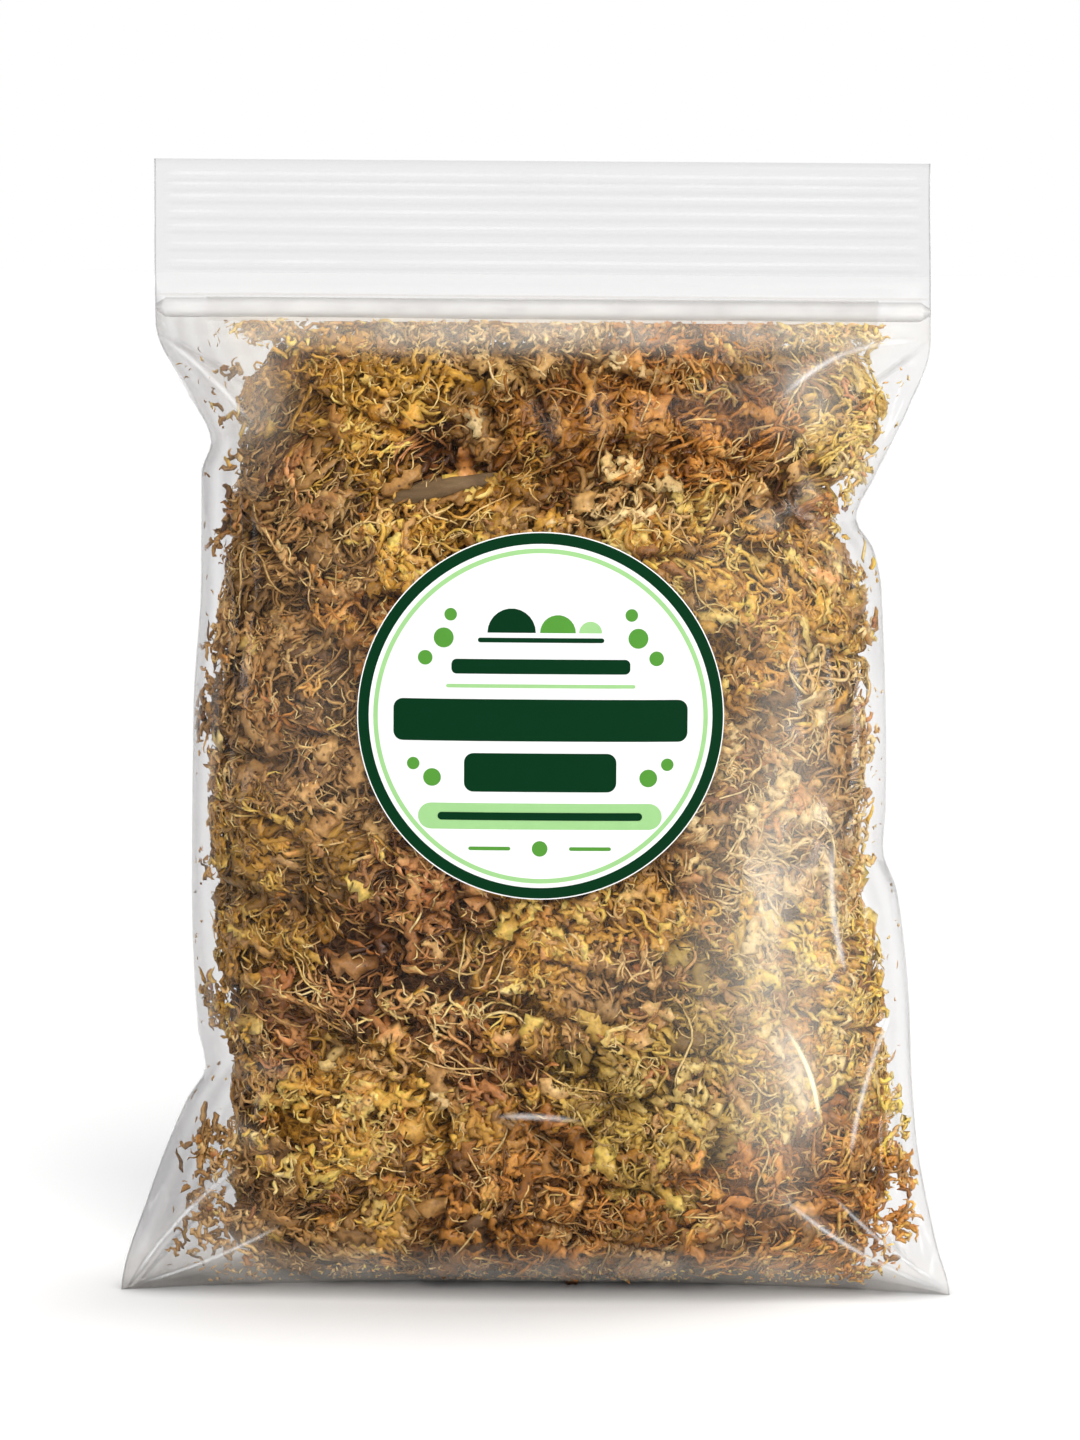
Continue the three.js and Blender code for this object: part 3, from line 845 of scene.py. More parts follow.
def add_wear_and_painted_light(film):
    """Gives each point of the film how crumpled it is, its fog of milk and painted highlights, and its grey
    of painted shade.
    """
    x, _, z = points_of(film).T
    margin = smooth(0.6, 0.95, np.abs(share_at(x, z)))
    calm = smooth(0, 20, from_label(x, z)) * (1 - smooth(190, 196, z))
    crumple = 0.03 + 0.22 * margin + 0.15 * (1 - smooth(6, 30, z)) + 0.1 * smooth(160, 184, z)
    add_values(film, "crumple", np.clip(crumple, 0, 1) * calm)
    add_values(film, "haze", film_fog_and_glow(x, z) * (1 - 0.75 * margin))
    add_values(film, "grey", film_greyness(x, z, margin, calm))


def bag_film():
    """The film is one sheet: down the front, across the base and up the back, welded along both sides."""
    rows = film_rows()
    faces = grid_faces(*rows.shape[:2], closed=False, turned=True)
    film = mesh_piece("clear_bag", rows.reshape(-1, 3), faces, clear_film())
    start_editing(film)
    bpy.ops.mesh.remove_doubles(threshold=WELD_GAP * MM)
    stop_editing()
    apply_modifier(film, "SOLIDIFY", thickness=FILM_WALL * MM, offset=-1)
    shade_smooth(film)
    add_wear_and_painted_light(film)
    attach(film, "root")
    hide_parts("bag_film")


def on_film(x, z, side, lift):
    """Points on one wall of the film, or lifted off it."""
    point = film_point(share_at(x, z), z, side)
    point[:, 1] += side * lift
    return point


def side_welds(weld_white_and_fold_highlight):
    heights = np.linspace(0.6, TOP - 0.2, 150)
    for name, edge in (("left", left_edge), ("right", right_edge)):
        share = np.full_like(heights, math.copysign(1, edge(0.0)))
        path = np.stack([edge(heights), mid_surface(share, heights), heights], -1)
        weld = thread(f"side_weld_{name}", path, WELD_RADIUS, WELD_RADIUS, weld_white_and_fold_highlight)
        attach(weld, "root")


def fold_marks(weld_white_and_fold_highlight, scuffed, glint_paint):
    """A scuff, and painted highlights on each wall: the glint of a taut fold and the white lines of the sharp
    folds.
    """
    for wall, side, creases in (("front", -1, FRONT_CREASES), ("back", 1, BACK_CREASES)):
        marks = []
        for kind, (*line, half_width), finish in (
            ("scuff", SCUFFS[wall], scuffed), ("glint", GLINTS[wall], glint_paint)
        ):
            path = on_film(*crease_path(*line, np.linspace(0, 1, 24)), side, MARK_LIFT)
            marks.append(thread(f"{kind}_{wall}", path, half_width, MARK_RISE, finish, (0, side, 0), 0.4))
        lines = []
        for *line, width, height in creases:
            if height >= SHARP:
                path = on_film(*crease_path(*line, np.linspace(0, 1, 44)), side, FOLD_LIFT)
                lines.append(thread("fold", path, 0.45 * width, MARK_RISE, weld_white_and_fold_highlight, (0, side, 0), 0.25))
        for piece in (*marks, join(f"fold_lines_{wall}", lines)):
            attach(piece, "root")


def lip_ribs():
    """Ribs across the front lip, each with a painted shadow line below it."""
    for kind, material, rise in (("ribs", rib_film(), 0.75), ("lines", rib_shadow_film(), -0.65)):
        lines = []
        for rib in LIP_RIBS:
            x = np.linspace(left_edge(rib) + 1.6, right_edge(rib) - 1.2, 60)
            z = rib + rise + 0.12 * lattice_noise(x / 30, x * 0 + rib, 15)
            lines.append(thread("rib", on_film(x, z, -1, 0.14), 0.65, 0.08, material))
        ribs = join(f"lip_{kind}", lines)
        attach(ribs, "root")


def zip_bands():
    """The pressed band over the zip on the front wall, and the thin line above it."""
    for name, height, half_width, lift, plastic in (
        ("zip_band", 192.3, 1.9, 0.1, pressed_film()),
        ("zip_lines", 194.8, 0.4, 0.32, zip_line()),
    ):
        x = np.linspace(left_edge(height) + 0.1, right_edge(height) - 0.1, 70)
        z = height + 0.12 * lattice_noise(x / 18, x * 0, 77)
        band = thread(name, on_film(x, z, -1, lift), half_width, 0.14, plastic)
        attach(band, "root")


# ---- The label ----
INK = 0.05
LABEL_THICKNESS = 0.3
PRINT_CUT = 2.2  # a print is cut up this often, so that it bends with the label
LABEL_FRONT = 0.75
# Steps from the label's edge inwards: its rim, the dark ring, the gap, the pale ring and the field
LABEL_STEPS = (0.2, 2.05, 0.85, 0.9, *[2.6] * 11)
DARK_RING = (0.2, 2.3)
PALE_RING = (3.1, 4.0)
# Dots of the print beside the title: x from the label's middle, z and radius
LABEL_DOTS = ((18.5, 15.0, 1.9), (22.0, 11.2, 1.4), (17.2, 19.4, 1.2), (20.6, -11.6, 1.7), (24.2, -9.0, 1.2))
FULL_RING = TURN * 23 / 24


def front_of_film(x, z):
    """The smooth front of the bag, in millimetres."""
    share = share_at(x, z)
    return mid_surface(share, z) - half_depth(z) * fullness(share, z) - billow(x, z, -1)


def lay_on_front(piece, lift):
    """Bends a flat piece, made in the XZ plane, to follow the front of the bag at a lift from it."""
    points = points_of(piece)
    x, z = points[:, 0], points[:, 2]
    points[:, 1] += front_of_film(x, z) - lift
    piece.data.vertices.foreach_set("co", (points * MM).ravel())
    piece.data.update()


def label_disc(paper, dark, pale):
    """A round sticker: rings of print are inset from its edge, and each ring gets its own ink."""
    bpy.ops.object.select_all(action="DESELECT")
    bpy.ops.mesh.primitive_circle_add(
        vertices=128, radius=LABEL_RADIUS * MM, fill_type="NGON",
        location=(LABEL_X * MM, 0, LABEL_Z * MM), rotation=(math.pi / 2, 0, 0),
    )
    disc = bpy.context.object
    disc.name = "label"
    bpy.ops.object.transform_apply()
    for material in (paper, dark, pale):
        disc.data.materials.append(material)
    start_editing(disc)
    for step in LABEL_STEPS:
        bpy.ops.mesh.inset(thickness=step * MM, use_boundary=True)
    stop_editing()
    for face in disc.data.polygons:
        inwards = -from_label(face.center.x / MM, face.center.z / MM)
        if DARK_RING[0] < inwards < DARK_RING[1]:
            face.material_index = 1
        elif PALE_RING[0] < inwards < PALE_RING[1]:
            face.material_index = 2
    lay_on_front(disc, LABEL_FRONT)
    apply_modifier(disc, "SOLIDIFY", thickness=LABEL_THICKNESS * MM, offset=-1)
    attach(disc, "root")
    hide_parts("front_label")


def print_shape(name, outline, material, layer=1):
    """A thin printed shape, from its outline about the label's middle. Layers lie on each other."""
    shape = bmesh.new()
    corners = [shape.verts.new(((LABEL_X + px) * MM, 0, (LABEL_Z + pz) * MM)) for px, pz in outline]
    shape.faces.new(corners)
    for axis, centre in ((0, LABEL_X), (2, LABEL_Z)):
        normal = [float(axis == 0), 0, float(axis == 2)]
        for step in range(-15, 16):
            plane = [c * (centre + step * PRINT_CUT) * MM for c in normal]
            everything = shape.verts[:] + shape.edges[:] + shape.faces[:]
            bmesh.ops.bisect_plane(shape, geom=everything, plane_co=plane, plane_no=normal)
    for face in shape.faces:
        face.normal_update()
        if face.normal.y > 0:
            face.normal_flip()
    mesh = bpy.data.meshes.new(name)
    shape.to_mesh(mesh)
    shape.free()
    mesh.materials.append(material)
    piece = bpy.data.objects.new(name, mesh)
    bpy.context.collection.objects.link(piece)
    lay_on_front(piece, LABEL_FRONT + INK * layer)
    apply_modifier(piece, "SOLIDIFY", thickness=INK * MM, offset=-1)
    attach(piece, "root")


def arc(radius, cx, cz, start, sweep, points=14):
    angles = start + np.linspace(0, sweep, points)
    return [(cx + radius * math.cos(a), cz + radius * math.sin(a)) for a in angles]


def bar(cx, cz, width, height, corner=None):
    """A bar with round corners, or round ends where no corner is given."""
    r = corner or height / 2
    outline = []
    for k, (sx, sz) in enumerate(((1, -1), (1, 1), (-1, 1), (-1, -1))):
        turn_x, turn_z = cx + sx * (width / 2 - r), cz + sz * (height / 2 - r)
        outline += arc(r, turn_x, turn_z, (k - 1) * math.pi / 2, math.pi / 2, 8)
    return [p for p, q in zip(outline, outline[1:] + outline[:1]) if math.dist(p, q) > 0.01]


def label():
    """The round label, with plain bars, dots and three mounds for its print."""
    paper = print_material("label_paper", (0.78, 0.785, 0.78))
    dark = print_material("dark_green_ink", (0.0004, 0.028, 0.008))
    mid = print_material("mid_green_ink", (0.075, 0.255, 0.035))
    pale = print_material("pale_green_ink", (0.29, 0.52, 0.22))
    label_disc(paper, dark, pale)
    print_shape("print_title_upper", bar(0, -0.6, 56, 8.0, 1.8), dark)
    print_shape("print_title_lower", bar(0, -10.6, 29, 7.4, 1.8), dark)
    print_shape("print_upper_bar", bar(0, 9.6, 34, 2.8, 1.0), dark)
    print_shape("print_rule", bar(0, 5.9, 36, 0.7), pale)
    print_shape("print_pill", bar(0, -19.0, 46.5, 5.0), pale)
    print_shape("print_pill_line", bar(0, -19.0, 39, 1.5), dark, layer=2)
    print_shape("print_foot_left", bar(-9.6, -25.2, 8, 0.7), mid)
    print_shape("print_foot_right", bar(9.6, -25.2, 8, 0.7), mid)
    print_shape("print_foot_dot", arc(1.5, 0, -25.2, 0, FULL_RING, 24), mid)
    mounds = (("left", 4.6, -5.6, dark), ("right", 3.4, 3.2, mid), ("small", 2.2, 9.4, pale))
    for name, radius, x, ink in mounds:
        print_shape(f"print_mound_{name}", arc(radius, x, 16, 0, math.pi), ink)
    print_shape("print_mound_ground", bar(0, 14.6, 24, 0.9), dark)
    for name, side in (("left", -1), ("right", 1)):
        for k, (x, z, radius) in enumerate(LABEL_DOTS):
            print_shape(f"print_dot_{name}_{k}", arc(radius, side * x, z, 0, FULL_RING, 24), mid)


# ---- The moss ----
WADS = (
    # name, colour, middle x, y, z, how bright: partly the moss's own tone and partly painted light, as in the
    # wads on the right, brightened where the glow of light falls
    ("straw_crown", "straw", (-8, -3, 190), 1),
    ("olive_top_left", "olive", (-34, -9, 172), 1.02),
    ("rust_top", "rust", (6, -12, 168), 0.8),
    ("rust_top_right", "rust", (38, -9, 171), 0.93),
    ("green_top_right", "green", (66, -4, 172), 1.85),
    ("brown_upper_left", "brown", (-55, -10, 148), 0.87),
    ("olive_upper_middle", "olive", (-14, -14, 147), 1.5),
    ("gold_upper_right", "gold", (38, -14, 137), 1.2),
    ("brown_left", "brown", (-46, -14, 116), 1.13),
    ("brown_behind_label", "brown", (2, -14, 112), 1.1),
    ("straw_right", "straw", (52, -13, 101), 1.46),
    ("olive_left", "olive", (-53, -13, 78), 0.96),
    ("dark_lower_left", "dark", (-28, -15, 66), 1.75),
    ("olive_lower_middle", "olive", (6, -15, 70), 1.33),
    ("gold_lower_left", "gold", (-33, -14, 36), 1.06),
    ("green_lower_middle", "green", (21, -14, 44), 1.09),
    ("gold_lower_right", "gold", (62, -10, 56), 1.66),
    ("brown_bottom_left", "brown", (-62, -7, 20), 0.86),
    ("rust_bottom", "rust", (-2, -12, 14), 0.9),
    ("rust_bottom_right", "rust", (50, -9, 17), 1.18),
    ("brown_back_top", "brown", (-26, 12, 160), 0.95),
    ("straw_back_top", "straw", (36, 12, 152), 0.95),
    ("rust_back_left", "rust", (-42, 13, 106), 0.95),
    ("brown_back_right", "brown", (32, 14, 98), 0.95),
    ("gold_back_bottom", "gold", (-34, 13, 44), 0.9),
    ("brown_back_bottom", "brown", (34, 13, 36), 0.95),
)
# Shades of each colour of moss: the usual one, a darker, a lighter and a shaded one
SHADES = {
    "olive": ((0.46, 0.228, 0.02), (0.32, 0.148, 0.014), (0.67, 0.395, 0.055), (0.21, 0.10, 0.013)),
    "straw": ((0.62, 0.37, 0.12), (0.44, 0.245, 0.07), (0.82, 0.56, 0.24), (0.30, 0.155, 0.045)),
    "rust": ((0.53, 0.212, 0.022), (0.37, 0.136, 0.015), (0.71, 0.325, 0.055), (0.23, 0.085, 0.012)),
    "brick": ((0.42, 0.165, 0.04), (0.30, 0.11, 0.028), (0.58, 0.25, 0.07), (0.18, 0.068, 0.018)),
    "brown": ((0.41, 0.21, 0.058), (0.28, 0.14, 0.038), (0.58, 0.33, 0.105), (0.19, 0.09, 0.026)),
    "gold": ((0.62, 0.318, 0.028), (0.45, 0.212, 0.019), (0.78, 0.52, 0.11), (0.29, 0.14, 0.016)),
    "green": ((0.52, 0.33, 0.05), (0.36, 0.22, 0.035), (0.70, 0.49, 0.13), (0.25, 0.14, 0.026)),
    "dark": ((0.25, 0.108, 0.03), (0.16, 0.066, 0.02), (0.45, 0.21, 0.06), (0.10, 0.042, 0.014)),
}
COLOURS = tuple(SHADES)
SHADE_TABLE = np.array(tuple(SHADES.values()))
SHADE_CHANCES = (0.46, 0.2, 0.24, 0.1)
LEAFINESS = {
    "olive": 0.75, "straw": 0.4, "rust": 0.55, "brick": 0.5, "brown": 0.4, "gold": 0.85, "green": 0.75,
    "dark": 0.1,
}
# Patches of another colour in the front: colour, middle x and z, half width and half height, how bright
PATCHES = (
    ("rust", -5, 170, 10, 6, 0.8), ("rust", 28, 173, 10, 5, 0.87), ("brick", -49, 163, 9, 4, 0.95),
    ("dark", -21, 164.5, 7, 4.5, 1.9), ("olive", -9, 153, 10, 5, 1.35), ("rust", -38, 132, 8, 7, 1.0),
    ("brick", -29, 86, 8, 5, 1.1), ("brick", -50, 55, 5, 11, 1.1), ("dark", -31, 69, 9, 7, 2.0),
    ("gold", -8, 68, 13, 5, 1.15), ("brick", -11, 46, 9, 6, 1.1), ("brown", 16, 62, 12, 6, 1.15),
    ("gold", -27, 176, 13, 6, 1.0), ("brown", 48, 158, 9, 5, 1.1), ("gold", -7, 158, 10, 5, 1.2),
    ("straw", 14, 156, 14, 7, 1.25),
)
# Hollows in the front: middle x and z, half width, half height and depth
HOLLOWS = (
    (-20, 165, 6.5, 4, 4.0), (-22, 157, 9, 2.5, 2.6), (-31, 70, 6, 6, 4.6), (-21, 31, 4, 2.5, 3.2),
    (17, 167, 5, 2, 3.0), (36, 30, 3, 5, 2.2), (-50, 66, 4, 4, 2.0), (8, 24, 6, 2, 2.0),
    (44, 126, 3, 4, 1.8), (-40, 50, 3, 2, 2.0),
)
# Pale chips on the front: x, z, the way they point and how pale they are. The last four lie under the glint
# of the lower right fold and are part of its painted highlight.
CHIPS = (
    (-44, 45, 0.6, 1.0), (-42.5, 46.5, 1.3, 0.95), (62, 61, 1.2, 1.0), (61, 56, -1.3, 0.85),
    (52, 116, 1.0, 0.85), (40, 98, -0.6, 0.85), (34, 128, 2.2, 0.8), (47, 74, 1.9, 0.9),
    (45.5, 53, -1.1, 1.4), (47.5, 49.5, -1.1, 1.5), (49.5, 45, -1.1, 1.4), (51, 41, -1.2, 1.2),
)
BACK_SHARE = 0.4  # how many roots the back has for each one of the front
WAD_MIDDLES = np.array([middle for _, _, middle, _ in WADS], float)
WAD_COLOURS = np.array([COLOURS.index(colour) for _, colour, _, _ in WADS])
WAD_BRIGHTNESS = np.array([bright for _, _, _, bright in WADS], float)


def ragged(points, reach, grain):
    """Points moved about, so that a border drawn through them is ragged."""
    x, z = points[:, 0], points[:, 2]
    moved = points.copy()
    for part, size in ((1.0, grain), (0.6, grain / 2.5)):
        moved[:, 0] += reach * part * lattice_noise(z / size, x / size, 21)
        moved[:, 2] += reach * part * lattice_noise(x / size, z / size, 22)
    return moved


def nearest_wad(points):
    """The wad each point belongs to, with ragged borders between wads."""
    return np.argmin(((ragged(points, 7, 9)[:, None] - WAD_MIDDLES[None]) ** 2).sum(-1), 1)


def within(patch, points):
    """Which points lie in a patch of the front, with a ragged border."""
    x, _, z = ragged(points, 4, 6).T
    _, at_x, at_z, wide, tall, _ = patch
    return (((x - at_x) / wide) ** 2 + ((z - at_z) / tall) ** 2 < 1) & (points[:, 1] < 2)


def moss_colour(points, wad):
    """The number of the colour at each point: its wad's, or that of a patch in the front."""
    colour = WAD_COLOURS[wad]
    for patch in PATCHES:
        colour[within(patch, points)] = COLOURS.index(patch[0])
    return colour


def moss_brightness(points, wad):
    """How bright the moss is at each point, as its wad or a patch in the front: partly its own tone, partly
    painted light.
    """
    bright = WAD_BRIGHTNESS[wad]
    for patch in PATCHES:
        bright[within(patch, points)] = patch[-1]
    return bright


def hollow(points):
    """How deep the hollows of the front are at each point."""
    x, y, z = np.moveaxis(points, -1, 0)
    depth = 0 * x
    for *patch, deep in HOLLOWS:
        depth = depth + deep * bell(x, z, *patch) * (y < 2)
    return depth


def sunk(points):
    """How far the pack sinks at each point: between its clumps, and in the hollows of its front."""
    x, y, z = np.moveaxis(points, -1, 0)
    vein = 1 - np.abs(lattice_noise(x / 14 + y / 19, z / 10.5 + x / 40, 51))
    lump = lattice_noise(x / 6 + y / 15, z / 5, 52)
    return 2.8 * smooth(0.76, 1, vein) + 0.5 + 0.5 * lump + hollow(points)


NUDGE = 0.02  # a small turn round the pack, for measuring how far round it a turn goes
LOWEST_ROOT = MOSS_BASE + 0.8


def even_roots(rng, count):
    """Angles and heights spread evenly over the pack, fewer of them on the back."""
    tries = count * 6
    angle, height = rng.uniform(0, TURN, tries), rng.uniform(LOWEST_ROOT, MOSS_TOP + 2, tries)
    middle = np.full(tries, 100.0)
    step = moss_point(angle + NUDGE, middle, 0 * middle) - moss_point(angle, middle, 0 * middle)
    reach = np.linalg.norm(step, axis=1)
    wanted = reach / reach.max() * np.where(np.sin(angle) < 0.15, 1, BACK_SHARE)
    keep = rng.random(tries) < wanted
    return angle[keep][:count], height[keep][:count]


def rooted(rng, count, depth=1.0):
    """Even roots, their points at a depth in the pack, and the wads they belong to."""
    angle, height = even_roots(rng, count)
    roots = moss_point(angle, height, depth)
    return angle, height, roots, nearest_wad(roots)


# How strands of each kind run. Lengths, widths and the dive into the pack are in millimetres. Sways, paces,
# bends and twists are in radians. Teeth and thickness are shares of the width. Pairs are (least, most).
MEASURES = ("stations", "length", "width", "dive", "sway", "pace", "bend", "twist", "teeth", "thick")
LEAF, CURL, STRING, BROAD, FLAKE, WISP, STEM, SPRIG, CHIP, CRUMB = (
    dict(zip(MEASURES, row))
    for row in (
        (8, (3, 7.5), (1.6, 3.6), (-0.5, 0.9), 1.1, (3, 8), 3.2, 0.8, 0.6, 0.14),
        (8, (4, 8.5), (0.6, 1.25), (-0.6, 1.0), 1.3, (4, 10), 5.2, 0.9, 0.15, 0.45),
        (8, (4.5, 10), (0.4, 0.9), (-0.6, 1.0), 0.8, (3, 8), 2.2, 1.0, 0.2, 0.45),
        (5, (4, 9), (1.4, 3.0), (-0.4, 0.6), 1.2, (3, 8), 2.5, 0.8, 0.4, 0.16),
        (8, (4, 9.5), (3.2, 6.5), (-0.5, 0.8), 0.8, (3, 8), 1.6, 0.6, 0.6, 0.1),
        (5, (2.2, 6), (0.22, 0.42), (-0.3, 0.6), 1.6, (4, 9), 4.0, 0.6, 0.1, 0.7),
        (9, (8, 18), (0.35, 0.55), (-0.3, 0.6), 0.6, (3, 8), 1.4, 0.6, 0.1, 0.7),
        (6, (2.0, 5.0), (0.6, 1.7), (0, 0.8), 1.5, (3, 8), 4.0, 1.4, 0.4, 0.25),
        (6, (3, 5), (2.2, 3.6), (-0.2, 0.2), 0.4, (3, 6), 0.8, 0.4, 0.2, 0.2),
        (4, (0.5, 1.8), (0.2, 0.7), (0, 0.3), 1.0, (3, 8), 2.0, 1.0, 0.4, 0.3),
    )
)


def ribbons(rng, centre, out, width, roll, twist, teeth, thick):
    """Three points round each station of each strand, with round ends and toothed sides."""
    count, stations, _ = centre.shape
    run = unit(np.gradient(centre, axis=1))
    side = unit(np.cross(run, unit(out)))
    up = np.cross(side, run)
    s = np.linspace(0, 1, stations)[None]
    rolled = (roll[:, None] + twist[:, None] * s)[..., None]
    across = side * np.cos(rolled) + up * np.sin(rolled)
    above = up * np.cos(rolled) - side * np.sin(rolled)
    taper = np.minimum(1, np.minimum(0.4 + 5 * s, 0.34 + 3.2 * (1 - s)))
    lobes = (np.arange(stations)[:, None] + np.arange(2)[None]) % 2
    notches = rng.uniform(0.4, 1, (count, stations, 2)) * lobes
    cut = 1 - teeth * notches - 0.3 * teeth * rng.uniform(0, 1, (count, stations, 2))
    half = (width[:, None] / 2 * taper)[..., None] * cut
    rise = thick * (width[:, None] * taper)[..., None]
    one_side, other_side = centre + across * half[..., :1], centre - across * half[..., 1:]
    return np.stack([one_side, centre + above * rise, other_side], 2)


def grow(
    rng, angle, height, heading, layer, stations, length, width, dive, sway, pace, bend, twist, teeth, thick,
    place=moss_point, least_reach=8.0
):
    """Strands that run over the pack, each a three-sided ribbon with round ends.

    Returns points (strand, station, corner, xyz), and the inset and the share of its length of each station.
    """
    count = len(angle)
    draw = rng.uniform
    length, width = draw(*length, count), draw(*width, count)
    dive, pace = draw(*dive, count), draw(*pace, count)
    bend, twist, roll = draw(-bend, bend, count), draw(-twist, twist, count), draw(-0.7, 0.7, count)
    phase, sway = draw(0, TURN, count), draw(0.2, 1, count) * sway
    step = length / (stations - 1)
    centres, outs, insets = [], [], []
    for k in range(stations):
        s = k / (stations - 1)
        weave = np.sin(phase + pace * s)
        surface = place(angle, height, 0 * layer)
        rise = layer + dive * s * s + 0.35 * weave
        inset = np.clip(rise + (sunk(surface) if place is moss_point else 0), 0.1, 7)
        centre = place(angle, height, inset)
        centres.append(centre)
        outs.append(surface - place(angle, height, 0 * inset + 3))
        insets.append(np.maximum(rise, 0.1) + 0.78 * (inset - np.maximum(rise, 0.1)))
        aside = place(angle + NUDGE, height, inset) - centre
        reach = np.maximum(np.linalg.norm(aside, axis=1) / NUDGE, least_reach)
        turn = heading + bend * s + sway * weave
        angle = angle + step * np.cos(turn) / reach
        top = STRAND_TOP - 1.3 * np.abs(lattice_noise(centre[:, 0] / 6, 0 * layer, 17))
        height = np.clip(height + step * np.sin(turn), np.minimum(height, MOSS_BASE + 0.6), top)
    inset = np.stack(insets, 1)
    points = ribbons(rng, np.stack(centres, 1), np.stack(outs, 1), width, roll, twist, teeth, thick)
    return points, inset, np.broadcast_to(np.linspace(0, 1, stations)[None], inset.shape)


def strew(rng, angle, height, layers, **form):
    """Strands that head anywhere, in layers between a least and a most inset."""
    heading = rng.uniform(0, TURN, len(angle))
    return grow(rng, angle, height, heading, rng.uniform(*layers, len(angle)), **form)


def ribbon_faces(stations):
    """Triangles of one three-sided ribbon, ends closed."""
    faces = []
    for k in range(stations - 1):
        for c in range(3):
            p, q = 3 * k + c, 3 * k + (c + 1) % 3
            faces += [(p, p + 3, q), (q, p + 3, q + 3)]
    end = 3 * (stations - 1)
    faces += [(0, 1, 2), (end, end + 2, end + 1)]
    return np.array(faces)


def pick_shades(rng, colour):
    """A shade for each strand or tuft: mostly its place's own, with a few from other moss."""
    mixed = np.where(rng.random(len(colour)) < 0.2, COLOURS.index("brown"), colour)
    mixed = np.where(rng.random(len(colour)) < 0.1, rng.integers(0, len(COLOURS), len(colour)), mixed)
    shade = SHADE_TABLE[mixed, rng.choice(4, len(colour), p=SHADE_CHANCES)]
    return shade * rng.uniform(0.85, 1.2, (len(colour), 1))


# Painted shade: deeper strands are darkened, and reddened as light that reaches them has lost most of its
# blue: powers of the brightness for each colour
DEEPENING = np.array([1.0, 1.22, 1.6])
# Painted highlight: the brightest moss is made paler: what red above the first value here adds to red, green
# and blue, up to the palest tint
HIGHLIGHT_ABOVE = 0.4
PAINTED_HIGHLIGHT = np.array([0, 0.05, 0.09])
PALEST = np.array([0.82, 0.62, 0.3])
# Painted rim light: each strand's two sides are brighter and its ridge darker
PAINTED_RIM_LIGHT = np.array([1.3, 0.85, 1.3])  # how bright the two sides and the ridge of a strand are


def strand_tints(points, inset, along, shade, wad, fade):
    """The colour of each point of each strand: its shade, dimmer and redder with depth as painted shade,
    paler at its tip, with painted rim light on its sides and a painted highlight where it is brightest.
    """
    x, y, z = points[:, 0, 1].T
    clump = 1 + 0.24 * lattice_noise(x / 9 + y / 15, z / 8, 71) + 0.16 * lattice_noise(x / 3.8, z / 3.4, 72)
    own_shade = shade * (moss_brightness(points[:, 0, 1], wad) * clump)[:, None]
    # painted shade: darker with depth
    bright = np.clip(1.24 - fade * inset, 0.17, 1.2) * (0.8 + 0.32 * along)
    tint = own_shade[:, None, None, :] * bright[:, :, None, None] ** DEEPENING * PAINTED_RIM_LIGHT[None, None, :, None]
    return np.minimum(tint + PAINTED_HIGHLIGHT * np.clip(tint[..., :1] - HIGHLIGHT_ABOVE, 0, 0.5), PALEST)


class MossPack:
    """Collects the strands of each wad, so that each wad becomes one piece."""

    def __init__(self):
        self.rows = {k: [] for k in range(len(WADS))}
        self.used = {k: 0 for k in range(len(WADS))}

    def add(self, grown, shade, wad, fade=0.2):
        """Adds strands in their shades. The fade is how much painted shade a millimetre of depth adds."""
        points, inset, along = grown
        tint = strand_tints(points, inset, along, shade, wad, fade)
        stations = inset.shape[1]
        pattern = ribbon_faces(stations)
        for k in np.unique(wad):
            own = np.flatnonzero(wad == k)
            start = self.used[k] + np.arange(len(own)) * stations * 3
            faces = (start[:, None, None] + pattern[None]).reshape(-1, 3)
            self.rows[k].append((points[own].reshape(-1, 3), tint[own].reshape(-1, 3), faces))
            self.used[k] += len(own) * stations * 3

    def build(self, material):
        for k, (name, colour, _, _) in enumerate(WADS):
            points, tints, faces = (np.concatenate(rows) for rows in zip(*self.rows[k]))
            piece = mesh_piece(f"strands_{name}", points, faces, material)
            shade_smooth(piece)
            add_tints(piece, tints)
            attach(piece, "root")
            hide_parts(f"moss_{name}")


def lay_under_layer(rng, pack):
    """Broad shaded strands that close the pack."""
    angle, height, roots, wad = rooted(rng, 3600, depth=2.0)
    grown = strew(rng, angle, height, (1.8, 3.2), **BROAD)
    pack.add(grown, pick_shades(rng, moss_colour(roots, wad)), wad)


def blend_shades(rng, shade, colour):
    """Most strands of a tuft keep its shade; the rest lean towards another shade of the same place."""
    other = pick_shades(rng, colour)
    lean_to = (rng.random(len(colour)) ** 2.5)[:, None]
    return (shade * (1 - lean_to) + other * lean_to) * rng.uniform(0.85, 1.18, (len(colour), 1))


# The tufts in the order they are laid: how many, their strands' form, and if they lie in leafy moss
TUFTS = ((1290, LEAF, True), (560, CURL, True), (600, CURL, False), (520, STRING, False))
LEAVES = 8  # in each tuft
STAR_SHARE = 0.3  # how many of the tufts spread all round


